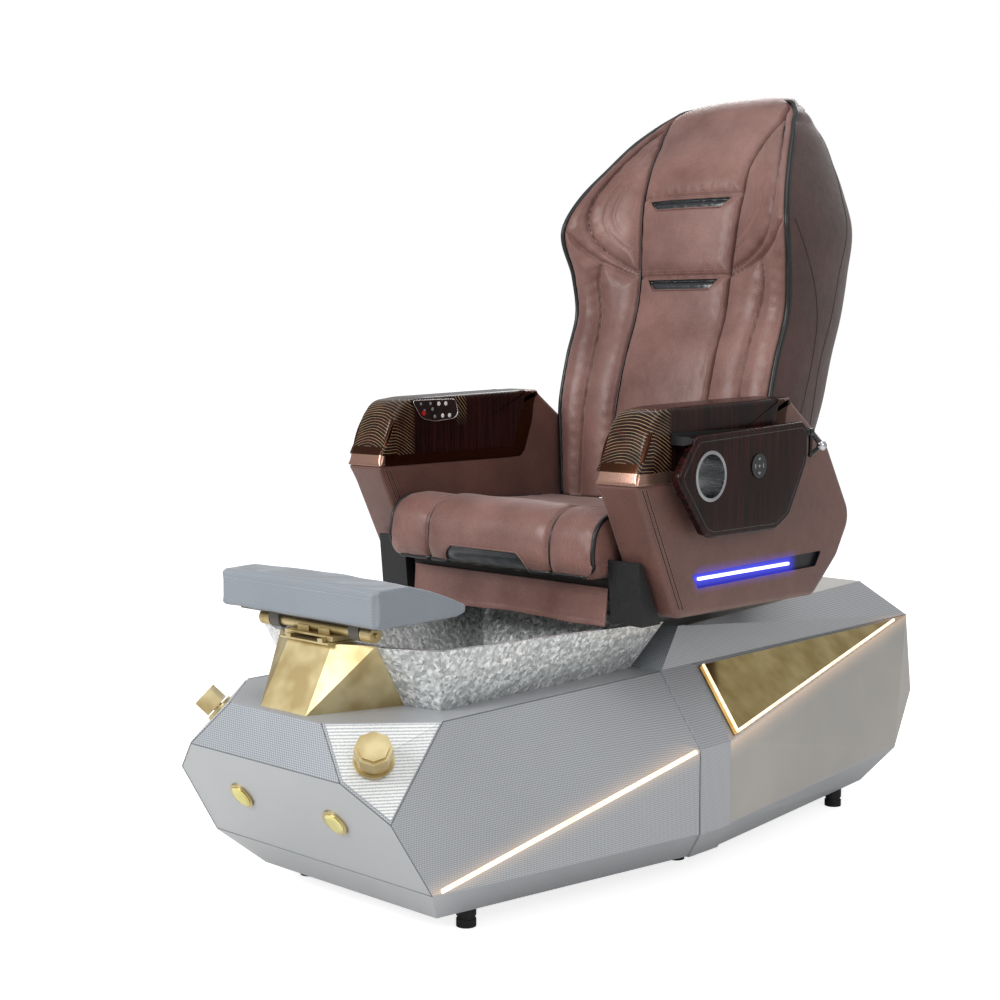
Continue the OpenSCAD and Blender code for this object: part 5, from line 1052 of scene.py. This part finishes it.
def seatHeight(x, t):
    w = np.abs(x)
    front = t > crossSeam
    channel = np.hypot(w - seat["channel"], np.maximum(crossSeam - t, 0))
    edges = np.minimum(seat["half"] - w, np.abs(t - crossSeam))
    edges = np.minimum(edges, np.where(front, seatLength + 0.006 - t, t + 0.01))
    near = np.minimum(np.maximum(edges, 0), np.where(front, channel, 9))
    puff = np.where(front, np.where(w < seat["channel"], seat["middlePuff"], seat["sidePuff"]),
                    seat["flatPuff"])
    rise = pillow(near, np.where(front, seat["frontEdge"], seat["topEdge"]), 1.0) * puff
    rise = rise + groove(channel, *seat["groove"]) * front - seat["insertDeep"] * insertDepth(x, t)
    folds = np.exp(-(near / 0.025) ** 2) * softNoise(np.stack([x, t * 1.5], -1), 0.045, 31) * seat["fold"]
    return rise + folds + seat["uneven"] * softNoise(np.stack([x, t], -1), 0.14, 32)


def insertWidth(up):
    return seat["insertHalf"] - seat["insertTaper"] * np.clip(up, 0, 1) ** 2.5


def insertDepth(x, t):
    # 1 inside the dark insert at the foot of the front face: flat below, rounded at its upper corners
    up = (seatLength - 0.002 - t) / seat["insertTall"]
    inside = np.minimum(insertWidth(up) - np.abs(x), (1 - up) * seat["insertTall"])
    return np.clip(inside / 0.003, 0, 1) * (up > -0.2)


def seatSurface(x, t, lift=0.0):
    return offsetSurface(seatBase, seatHeight, x, t, lift, (0, -0.6, 0.8))


stations = -seat["half"] * np.cos(np.linspace(0, np.pi, 161))
t = np.r_[np.linspace(0, crossSeam, 50)[:-1], np.linspace(crossSeam, seatLength, 130)]
grid = seatSurface(*np.meshgrid(stations, t, indexing="ij"))
floorLine = cornerLift(stations)
under = np.array([[-0.268, 0.5545], [-0.24, 0.5540], [-0.05, 0.5540], [0.150, 0.5540], [0.164, 0.556],
                  [0.166, 0.600]])
under = np.stack([np.stack([stations, 0 * stations + y, z + floorLine * (0.9 if i < 2 else 0.4)], -1)
                  for i, (y, z) in enumerate(under)], 1)
rings = np.concatenate([grid, under], 1)
middle = np.array([0, -0.06, 0.605])
ends = [(1.004, 0.985), (1.010, 0.93), (1.014, 0.8), (1.016, 0.4)]
for out, keep in ends:
    first, last = rings[0], rings[-1]
    first = (first - middle) * [1, keep, keep] + middle
    last = (last - middle) * [1, keep, keep] + middle
    first[:, 0], last[:, 0] = -seat["half"] * out, seat["half"] * out
    rings = np.concatenate([first[None], rings, last[None]])
piece = loftPiece("seatCushion", rings, "leather", "seat")
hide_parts("seat_cushion")

for side, name in sides:
    run = np.linspace(crossSeam + 0.001, seatLength, 60)
    line = seatSurface(np.full(60, side * seat["channel"]), run, 0.0016)
    tubePiece("seatChannel" + name, alongPath(line, spacing=0.004), 0.0036, "piping", "seat", 10)
    rowsOfThread = []
    for k in seat["stitchRows"]:
        run = np.linspace(crossSeam + 0.028, seatLength - 0.012, 40)
        rowsOfThread.append(seatSurface(side * (k + 0.006 * (run - run[0]) / 0.15), run, threadLift))
    for k in seat["channelRows"]:
        run = np.linspace(crossSeam + 0.006, seatLength - 0.004, 40)
        rowsOfThread.append(seatSurface(np.full(40, side * k), run, threadLift))
    stitchPiece("seatStitches" + name, rowsOfThread, "thread", "seat", (0.0034, 0.0018))

# welt round the front face: down one side, along the foot and up the other
drop = np.linspace(0.02, seatLength - 0.024, 70)
right = seatSurface(np.full(70, -seat["half"] + 0.0005), drop, 0.0008)
foot = np.linspace(-1, 1, 120)
turn = np.sign(foot) * np.abs(foot) ** 0.8 * (seat["half"] - 0.001)
footLine = seatSurface(turn, np.full(120, seatLength), 0.0)
footLine = footLine[np.abs(turn) < seat["half"] - 0.006]
left = right[::-1] * [-1, 1, 1]
line = np.vstack([right[:-1], footLine, left[1:]])
tubePiece("seatWelt", alongPath(line, spacing=0.004), 0.0042, "piping", "seat", 10)

up, across = np.meshgrid(np.linspace(-0.02, 0.985, 16), np.linspace(-1, 1, 70), indexing="ij")
wide = insertWidth(up) - 0.0006
t = seatLength - 0.002 - up * seat["insertTall"]
crown = 0.0022 * np.sin(np.pi * np.clip(up, 0, 1)) * (1 - across ** 8)
top = seatSurface(across * wide, t, 0.0014) + np.stack([0 * up, -crown, 0 * up], -1)
rim = seatSurface(across * wide, t, -0.003)
piece = loftPiece("seatInsert", np.concatenate([top, rim[:, ::-1]], 1), "ventLeather", "seat")
line = np.concatenate([top[1:, 0], top[-1, 1:-1], top[::-1, -1][:-1]])
tubePiece("seatInsertEdge", alongPath(line, spacing=0.004), 0.0017, "leather", "seat", 8)
print("seat cushion made")

# Arms


def roundedOutline(points, radii, step=0.004):
    # corners of a polygon replaced by circular arcs of the given radii, then even points along it
    p = np.asarray(points, float)
    out = []
    for i in range(len(p)):
        a, b, c = p[i - 1], p[i], p[(i + 1) % len(p)]
        u, v = unit(a - b), unit(c - b)
        half = math.acos(float(np.clip(u @ v, -1, 1))) / 2
        cutBack = min(radii[i] / math.tan(half), 0.45 * np.linalg.norm(a - b), 0.45 * np.linalg.norm(c - b))
        r = cutBack * math.tan(half)
        centre = b + unit(u + v) * (r / math.sin(half))
        start, end = b + u * cutBack - centre, b + v * cutBack - centre
        a0, a1 = math.atan2(start[1], start[0]), math.atan2(end[1], end[0])
        turn = (a1 - a0 + math.pi) % (2 * math.pi) - math.pi
        angle = a0 + turn * np.linspace(0, 1, 10)
        out.append(centre + r * np.stack([np.cos(angle), np.sin(angle)], -1))
    q = np.vstack(out)
    q = np.vstack([q, q[:1]])
    run = runOf(q)
    at = np.linspace(0, run[-1], max(int(run[-1] / step), 12), endpoint=False)
    return np.stack([np.interp(at, run, q[:, k]) for k in (0, 1)], -1)


def outlineNormals(q):
    # outward normals of a closed outline
    way = np.roll(q, -1, 0) - np.roll(q, 1, 0)
    n = unit(np.stack([way[:, 1], -way[:, 0]], -1))
    return -n if np.sum(n * (q - q.mean(0))) < 0 else n


def slabRings(outline, softness, x0, x1, centre, crown=0.0, inner=6):
    # a side-view outline carried from x0 to x1, its edges rounded by softness(y, z), its faces domed by crown
    q = np.asarray(outline)
    n = outlineNormals(q)
    r = softness(q[:, 0], q[:, 1])
    for _ in range(4):
        r = (np.roll(r, 1) + 2 * r + np.roll(r, -1)) / 4
    centre = np.asarray(centre)
    sideOne = []
    for a in np.linspace(0, np.pi / 2, 8):
        flat = q - n * (r * (1 - np.cos(a)))[:, None]
        sideOne.append((flat, r * (1 - np.sin(a))))
    flat = sideOne[-1][0]
    for k in range(1, inner + 1):
        share = 1 - k / (inner + 1)
        sideOne.append((centre + (flat - centre) * share, -crown * (1 - share ** 2) + 0 * r))
    low = [np.stack([x0 + depth, f[:, 0], f[:, 1]], -1) for f, depth in sideOne[::-1]]
    high = [np.stack([x1 - depth, f[:, 0], f[:, 1]], -1) for f, depth in sideOne]
    return np.stack(low + high)


def shadeFolded(mesh):
    # smooth shading with the cuts' edges kept sharp
    mesh.polygons.foreach_set("use_smooth", np.ones(len(mesh.polygons), bool))
    mesh.set_sharp_from_angle(angle=math.radians(42))


def cutPiece(obj, cutters):
    # takes each cutter's space out of the piece and keeps the result as its own mesh
    for cutter in cutters:
        tool = obj.modifiers.new("cut", "BOOLEAN")
        tool.operation, tool.solver, tool.object = "DIFFERENCE", "EXACT", cutter
    bpy.context.view_layer.update()
    made = bpy.data.meshes.new_from_object(obj.evaluated_get(bpy.context.evaluated_depsgraph_get()))
    obj.modifiers.clear()
    obj.data = made
    shadeFolded(made)
    return obj


def planeCut(obj, point, normal):
    # keeps the part on the side that normal points away from, and closes the cut
    bm = bmesh.new()
    bm.from_mesh(obj.data)
    geometry = bm.verts[:] + bm.edges[:] + bm.faces[:]
    found = bmesh.ops.bisect_plane(bm, geom=geometry, plane_co=point, plane_no=normal, clear_outer=True)
    edges = [e for e in found["geom_cut"] if isinstance(e, bmesh.types.BMEdge)]
    bmesh.ops.contextual_create(bm, geom=edges)
    bmesh.ops.recalc_face_normals(bm, faces=bm.faces)
    bm.to_mesh(obj.data)
    bm.free()
    shadeFolded(obj.data)


arm = {"inner": 0.269, "outer": 0.360, "front": -0.304, "length": 0.671, "low": 0.484, "tall": 0.380,
       "soft": 0.012, "crown": 0.0008,
       "cup": (-0.152, 0.738), "cupRadius": 0.0425, "trimOut": 0.0011, "woodOut": 0.0020,
       "seams": (0.008, 0.018),
       "pocket": (0.318, 0.42), "recess": (0.352, 0.37), "bodyMiddle": (0.155, 0.665),
       "trimMiddle": (-0.05, 0.79), "split": 0.317,
       "besideSeam": 0.0022, "seamRadius": 0.0009}


def armPoint(shares):
    return np.array([(arm["front"] + arm["length"] * a, arm["low"] + arm["tall"] * b) for a, b in shares])


bodyOutline = armPoint([(0, 0.639), (0.173, 0.013), (0.809, 0), (0.928, 0.179), (1, 0.379), (0.87, 0.75),
                        (0.669, 1), (0.62, 0.99), (0.557, 0.70), (0.550, 0.639)])
bodyRound = roundedOutline(bodyOutline, [0.004, 0.024, 0.03, 0.04, 0.05, 0.05, 0.022, 0.006, 0.01, 0.004])
woodOutline = armPoint([(0.0075, 0.692), (0.052, 0.887), (0.089, 0.963), (0.173, 0.98), (0.62, 1),
                        (0.557, 0.692)])
woodRound = roundedOutline(woodOutline, [0.002, 0.04, 0.05, 0.2, 0.004, 0.003])
# one bronze slab behind the wood: it shows as the strip below and the band behind it
trimOutline = armPoint([(0.0, 0.639), (0.0085, 0.70), (0.055, 0.885), (0.091, 0.960), (0.174, 0.977),
                        (0.62, 0.9985), (0.682, 1.001), (0.612, 0.672), (0.592, 0.639)])
trimRound = roundedOutline(trimOutline, [0.001, 0.002, 0.04, 0.05, 0.2, 0.3, 0.004, 0.02, 0.01])


def armRings(outline, softness, out, middle, side, crown=0.0):
    # a slab of the arm's width, grown by out on both faces
    return sided(slabRings(outline, softness, arm["inner"] - out, arm["outer"] + out, middle, crown), side)


def bodySoftness(y, z):
    # small where the leather meets the trim, full elsewhere
    nearTrim = np.clip(np.abs(z - 0.727) / 0.03, 0, 1) + (y > 0.10)
    nearRear = np.clip(np.abs(y - (0.097 + (z - 0.743) * 0.347)) / 0.02, 0, 1) + (z < 0.72)
    return 0.004 + (arm["soft"] - 0.004) * np.clip(np.minimum(nearTrim, nearRear), 0, 1)


def woodSoftness(y, z):
    # small along the lower edge and at the slanting rear end
    low = np.clip((z - 0.752) / 0.03, 0, 1)
    return 0.0015 + (arm["soft"] - 0.0015) * low * np.clip((0.10 + (z - 0.84) * 0.3 - y) / 0.01, 0.12, 1)


def trimSoftness(y, z):
    # the strip's front edges are as round as the arm's, its rear end is nearly sharp
    front = np.clip((-0.285 - y) / 0.012, 0, 1) * np.clip((z - 0.7285) / 0.006, 0, 1) * 0.008
    top = np.clip((z - 0.80) / 0.03, 0, 1) * (arm["soft"] - 0.001)
    return 0.0012 + np.maximum(front, top)


def atX(x, outline):
    # an outline of the side view as points of space
    return np.column_stack([np.full(len(outline), x), np.asarray(outline, float)])


def prism(name, outline, side, near, far):
    # a cutter between |x| = near and far on one side
    rings = np.stack([atX(x, outline) for x in sorted((side * near, side * far))])
    return loftPiece(name, rings, "black", "seat", smooth=False)


def xCylinder(name, centre, radius, side, near, far):
    angle = np.linspace(0, 2 * np.pi, 96, endpoint=False)
    ring = np.stack([centre[0] + radius * np.cos(angle), centre[1] + radius * np.sin(angle)], -1)
    return prism(name, ring, side, near, far)


def removeAll(*cutters):
    for cutter in cutters:
        bpy.data.objects.remove(cutter, do_unlink=True)


def frontRow(back):
    # a seam line down each front edge of the arm: the outline's front run, moved back along the side face
    run = np.linspace(0.03, 0.93, 70)
    a, b = armPoint([(0, 0.639), (0.173, 0.013)])
    return a + (b - a) * run[:, None] + np.array([back, 0.0])


dropOutline = [(-0.1944, 0.738), (-0.1096, 0.738), (-0.1096, 0.7045), (-0.1944, 0.7045)]
recessOutline = roundedOutline([(-0.151, 0.5635), (0.259, 0.5685), (0.239, 0.5405), (-0.131, 0.5370)],
                               [0.003] * 4, 0.002)
for side, name in sides:
    body = name.lower() + "_arm"
    pocket = xCylinder("pocketRound", arm["cup"], arm["cupRadius"], side, *arm["pocket"])
    drop = prism("pocketDrop", dropOutline, side, *arm["pocket"])
    recess = prism("lightRecess", recessOutline, side, *arm["recess"])
    rings = armRings(bodyRound, bodySoftness, 0.0, arm["bodyMiddle"], side, arm["crown"])
    piece = cutPiece(loftPiece("armBody" + name, rings, "armLeatherPaintedShadeGlow", body), [pocket, drop, recess])
    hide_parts("arm_" + name.lower())

    rings = armRings(trimRound, trimSoftness, arm["trimOut"], arm["trimMiddle"], side)
    # three parts of one slab: the inner half, and the outer half before and behind the cup's pocket
    middle = np.array([side * arm["split"], 0.0, 0.8])
    before, behind = np.array([0, -0.1946, 0.8]), np.array([0, -0.1094, 0.8])
    for part, cuts in (("Inner", [(middle, (side, 0, 0))]),
                       ("Front", [(middle, (-side, 0, 0)), (before, (0, 1, 0))]),
                       ("Rear", [(middle, (-side, 0, 0)), (behind, (0, -1, 0))])):
        piece = loftPiece("armTrim" + part + name, rings, "bronze", body)
        for point, normal in cuts:
            planeCut(piece, point, normal)
        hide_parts("trim_" + name.lower())

    rings = armRings(woodRound, woodSoftness, arm["woodOut"], arm["trimMiddle"], side)
    piece = cutPiece(loftPiece("armWood" + name, rings, "wood", body), [pocket, drop])
    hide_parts("wood_" + name.lower())
    removeAll(pocket, drop, recess)

    # lamp tray: a thin dish lying on the recess's floor and up its wall
    floorIn, inner, rim = [recessOutline.mean(0) + (recessOutline - recessOutline.mean(0)) * k
                           for k in (0.5, 0.996, 1)]
    rows = [(0.3526, floorIn), (0.3528, inner), (0.3596, inner), (0.3596, rim), (0.3521, rim),
            (0.3521, floorIn)]
    rings = np.stack([atX(x, outline) for x, outline in rows])
    loftPiece("lampTray" + name, sided(rings, side), "paintedGlowTray", body, smooth=False)

    # two sewn seams behind each front edge, drawn as dark lines that are painted shade of their grooves, with
    # stitches beside them
    grooves, rowsOfThread = [], []
    for faceX in (side * (arm["outer"] + 0.0002), side * (arm["inner"] - 0.0002)):
        for back in arm["seams"]:
            row = frontRow(back + 0.004)
            line = atX(faceX, row)
            grooves.append(alongPath(line, spacing=0.006))
            rowsOfThread += [line + [0, off, 0] for off in (-arm["besideSeam"], arm["besideSeam"])]
    for k, line in enumerate(grooves):
        tubePiece("armSeam" + name + str(k + 1), line, arm["seamRadius"], "seam", body, 6)
    stitchPiece("armStitches" + name, rowsOfThread, "thread", body, (0.0036, 0.0012))
print("arm bodies, wood, trims and seams made")

# Footrest pad, skirt, side trays and small marks

pad = {"front": -0.743, "back": -0.541, "low": 0.520, "tall": 0.063, "half": 0.195, "crown": 0.004,
       "fold": 0.0016, "foldAt": 0.011,
       "foldWidth": 0.005, "threadAt": 0.569}
padShares = [(0, 0.06), (0, 0.93), (0.05, 0.985), (0.36, 1.0), (0.62, 0.78), (0.88, 0.46), (1, 0.30),
             (1, 0.10), (0.9, 0.0), (0.05, 0.0)]


def padSoftness(y, z):
    # generous down the front corners, tighter along the top and bottom edges
    front = np.clip((pad["front"] + 0.010 - y) / 0.008, 0, 1)
    return 0.0050 + 0.0075 * front * np.clip((0.577 - z) / 0.010, 0, 1) * np.clip((z - 0.524) / 0.008, 0, 1)


def cornerFold(points):
    # two tucks and a furrow down each front corner: bumps exp(-(d/w)^2), pushed out along (1, -1)
    x, y, z = points[..., 0], points[..., 1], points[..., 2]
    across = (np.abs(x) - pad["half"]) - (pad["front"] - y)
    near = np.exp(-(((np.abs(x) - pad["half"]) ** 2 + (y - pad["front"]) ** 2) / 0.026 ** 2))
    wave = sum(share * np.exp(-((across - at) / pad["foldWidth"]) ** 2)
               for share, at in ((1, pad["foldAt"]), (1, -pad["foldAt"]), (-0.9, 0)))
    way = np.stack([np.sign(x), -1 + 0 * x, 0 * x], -1) / math.sqrt(2)
    return points + (pad["fold"] * wave * near)[..., None] * way


padDeep = pad["back"] - pad["front"]
padLine = [(pad["front"] + padDeep * a, pad["low"] + pad["tall"] * b) for a, b in padShares]
padRound = roundedOutline(padLine, [0.006, 0.004, 0.004, 0.05, 0.08, 0.03, 0.006, 0.006, 0.01, 0.006],
                          0.003)
rings = slabRings(padRound, padSoftness, -pad["half"], pad["half"], (-0.655, 0.552), 0.0022, 10)
half = len(rings) // 2
t = np.linspace(0, 1, 90)[1:-1, None, None]
rings = np.concatenate([rings[:half], rings[half - 1] + (rings[half] - rings[half - 1]) * t, rings[half:]])
dome = np.clip((rings[..., 2] - 0.545) / 0.03, 0, 1) * (1 - (rings[..., 0] / pad["half"]) ** 2)
rings[..., 2] += pad["crown"] * dome
rings = cornerFold(rings)
rings = rings + surfaceNormals(rings) * (0.0006 * softNoise(rings, 0.07, 41))[..., None]
piece = loftPiece("footrestPad", rings, "padCloth", "footrest")
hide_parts("footrest_pad")
x = np.linspace(-pad["half"] + 0.016, pad["half"] - 0.016, 60)
threadLine = np.stack([x, 0 * x + pad["front"] - 0.0006, 0 * x + pad["threadAt"]], -1)
stitchPiece("padStitches", [threadLine], "padThread", "footrest", (0.0046, 0.0022))
print("footrest pad made")

skirt = {"half": 0.2425, "top": 0.5372, "low": 0.4700, "face": -0.2336, "wave": 0.0046, "folds": 5,
         "thick": 0.0018, "hem": 0.0085, "thread": 0.0052}


def skirtFace(x, s):
    # s runs from 0 at the top to 1 at the foot; y sways by wave s^1.4 (sin(45 folds x/half + 40 deg) - 1)
    turn = np.radians(x / skirt["half"] * 90 * skirt["folds"] * 0.5 + 40)
    slack = 0.0016 * np.sin(x * 61 + 1.3) * s ** 2
    y = skirt["face"] + skirt["wave"] * s ** 1.4 * (np.sin(turn) - 1) + slack - 0.0012
    z = skirt["top"] + (skirt["low"] - skirt["top"]) * s + 0.0016 * s * np.sin(turn * 1.3 + 0.6)
    return np.stack([x, y, z], -1)


x, s = np.meshgrid(np.linspace(-skirt["half"], skirt["half"], 150), np.linspace(0, 1, 44), indexing="ij")
front = skirtFace(x, s)
normal = surfaceNormals(front)
normal *= np.where(normal[..., 1:2] > 0, -1.0, 1.0)
edge = np.minimum((1 - s) * (skirt["top"] - skirt["low"]), skirt["half"] - np.abs(x))
hemRise = 0.0007 * np.clip((skirt["hem"] - edge) / 0.0012, 0, 1)
hemRise = hemRise - 0.0003 * np.exp(-((edge - skirt["hem"] + 0.0030) / 0.0009) ** 2)
drapes = 0.0005 * softNoise(front, 0.05, 51) * s
outer = front + normal * (hemRise + drapes)[..., None]
inside = front - normal * skirt["thick"] + normal * drapes[..., None]
rings = np.concatenate([outer, inside[:, ::-1]], 1)
piece = loftPiece("seatSkirt", rings, "leather", "seat")
threadLines = [(np.linspace(-skirt["half"] + 0.006, skirt["half"] - 0.006, 80),
                np.full(80, 1 - skirt["thread"] / 0.067))]
threadLines += [(np.full(30, side * (skirt["half"] - skirt["thread"])), np.linspace(0.1, 0.92, 30))
                for side, _ in sides]
rowsOfThread = [skirtFace(x, s) + [0, -0.0010, 0] for x, s in threadLines]
hem = stitchPiece("skirtStitches", rowsOfThread, "thread", "seat", (0.0030, 0.0016))
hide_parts("skirt_flap")
print("skirt made")

tray = {"x0": 0.382, "x1": 0.400, "front": -0.244, "length": 0.391, "low": 0.630, "tall": 0.193,
        "edge": 0.0048,
        "cup": (-0.152, 0.738), "cupRadius": 0.0404, "dial": (-0.010, 0.748), "dialRadius": 0.0224,
        "lineIn": 0.011,
        "dialFloor": 0.3909, "past": 0.41, "middle": (-0.06, 0.72), "markAt": (0.0125, 0.0120)}
trayShares = [(0.138, 0.922), (0.96, 0.99), (1, 0.93), (1, 0.62), (0.857, 0.114), (0.747, 0), (0.258, 0),
              (0.2, 0.04), (0, 0.554)]
trayLine = [(tray["front"] + tray["length"] * a, tray["low"] + tray["tall"] * b) for a, b in trayShares]
trayRound = roundedOutline(trayLine, [0.030, 0.010, 0.008, 0.05, 0.03, 0.03, 0.02, 0.012, 0.022], 0.003)


def traySoftness(y, z):
    return tray["edge"] + 0 * y


def insetLine(outline, depth):
    # the outline moved inwards by depth along its own normals, evened out
    q = np.asarray(outline)
    q = q - outlineNormals(q) * depth
    for _ in range(6):
        q = (np.roll(q, 1, 0) + 2 * q + np.roll(q, -1, 0)) / 4
    return q


def faceDiscs(name, x, side, places, finish, body, dome=0.0005):
    # flat-topped round marks: rings of radius r, r and 0.7 r at heights -dome, dome/2 and dome
    points, faces = [], []
    angle = np.linspace(0, 2 * np.pi, 20, endpoint=False)
    for y, z, ry, rz in places:
        at = len(points) * 20
        for share, rise in ((1.0, -dome), (1.0, dome * 0.5), (0.7, dome)):
            ring = np.stack([y + ry * share * np.cos(angle), z + rz * share * np.sin(angle)], -1)
            points.append(atX(x + side * rise, ring))
        faces += (gridFaces(3, 20, True) + at).tolist()
        faces += [[at + k for k in range(19, -1, -1)], [at + 40 + k for k in range(20)]]
    return meshFrom(name, np.vstack(points), faces, finish, body)


for side, name in sides:
    body = name.lower() + "_tray"
    cupHole = xCylinder("cupHole", tray["cup"], tray["cupRadius"], side, 0.37, tray["past"])
    dialHole = xCylinder("dialHole", tray["dial"], tray["dialRadius"], side, tray["dialFloor"],
                         tray["past"])
    rings = sided(slabRings(trayRound, traySoftness, tray["x0"], tray["x1"], tray["middle"], 0.0, 3), side)
    piece = cutPiece(loftPiece("tray" + name, rings, "trayWood", body), [cupHole, dialHole])
    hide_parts("tray_" + name.lower())
    removeAll(cupHole, dialHole)
    # a thin black line inset from the outline stands for the tray's moulded step: painted shade of that
    # groove
    inset = insetLine(trayRound, tray["lineIn"])
    tubePiece("trayLine" + name, atX(side * (tray["x1"] - 0.0001), inset), 0.0007, "gloss", body, 6,
              closed=True)
    body = name.lower() + "_dial"
    y, z = tray["dial"]
    high, wide = tray["markAt"]
    marks = [(y, z + high, 0.0036, 0.0024), (y, z - high, 0.0036, 0.0024), (y - wide, z, 0.0016, 0.0042),
             (y + wide, z, 0.0016, 0.0042), (y, z, 0.0026, 0.0026)]
    faceDiscs("dialMarks" + name, side * 0.4020, side, marks, "keyGrey", body)
print("trays and dials made")

# keys and rim of the remote panel; places read off the photograph on the panel's plane
remoteX = -0.265
keyPlaces = [(-0.1970, 0.8440), (-0.1709, 0.8440), (-0.1480, 0.8430), (-0.1287, 0.8430), (-0.1876, 0.8311),
             (-0.1653, 0.8328),
             (-0.1592, 0.8182), (-0.1376, 0.8192), (-0.1182, 0.8192)]
keySize = [0.0030, 0.0034, 0.0044, 0.0044, 0.0024, 0.0034, 0.0036, 0.0044, 0.0044]
bright = [(y, z, r, r) for (y, z), r in zip(keyPlaces, keySize) if r > 0.0040]
dim = [(y, z, r, r) for (y, z), r in zip(keyPlaces, keySize) if r <= 0.0040]
for name, places, finish in (("remoteKeys", bright, "keyWhite"), ("remoteMarks", dim, "keyGrey")):
    faceDiscs(name, remoteX, 1, places, finish, "right_arm")
rimLine = roundedOutline([(-0.2221, 0.8518), (-0.101, 0.8518), (-0.092, 0.822), (-0.104, 0.8119),
                          (-0.16, 0.808), (-0.1953, 0.815)],
                         [0.002, 0.004, 0.008, 0.008, 0.03, 0.014], 0.003)
tubePiece("remoteRim", atX(remoteX - 0.0002, insetLine(rimLine, 0.0008)), 0.0010, "chrome", "right_arm", 8,
          closed=True)
print("remote keys made")

# dark sealed joints along the base's folded edges, in metres on the +X side
baseCorners = {"deck": (0.246, -0.646, 0.369), "cheek": (0.265, -0.7786, 0.232),
               "chin": (0.274, -0.699, 0.103), "nose": (0.190, -0.815, 0.291),
               "crest": (0.246, -0.091, 0.369), "prow": (0.115, -0.787, 0.369),
               "crestRear": (0.246, 0.001, 0.369), "crestEnd": (0.246, 0.780, 0.369)}
edges = [("deck", "crest"), ("deck", "cheek"), ("nose", "cheek"), ("cheek", "chin"), ("nose", "prow"),
         ("crestRear", "crestEnd")]
for side, name in sides:
    for k, (a, b) in enumerate(edges):
        line = np.linspace(baseCorners[a], baseCorners[b], 12) * [side, 1, 1]
        tubePiece("baseJoint" + name + str(k + 1), line, 0.0009, "joint", "base", 6)
for k, corner in enumerate(("nose", "chin")):
    line = np.linspace(baseCorners[corner], np.array(baseCorners[corner]) * [-1, 1, 1], 12)
    tubePiece("baseJointFront" + str(k + 1), line, 0.0008, "joint", "base", 6)
print("base joints made")

print("finished")
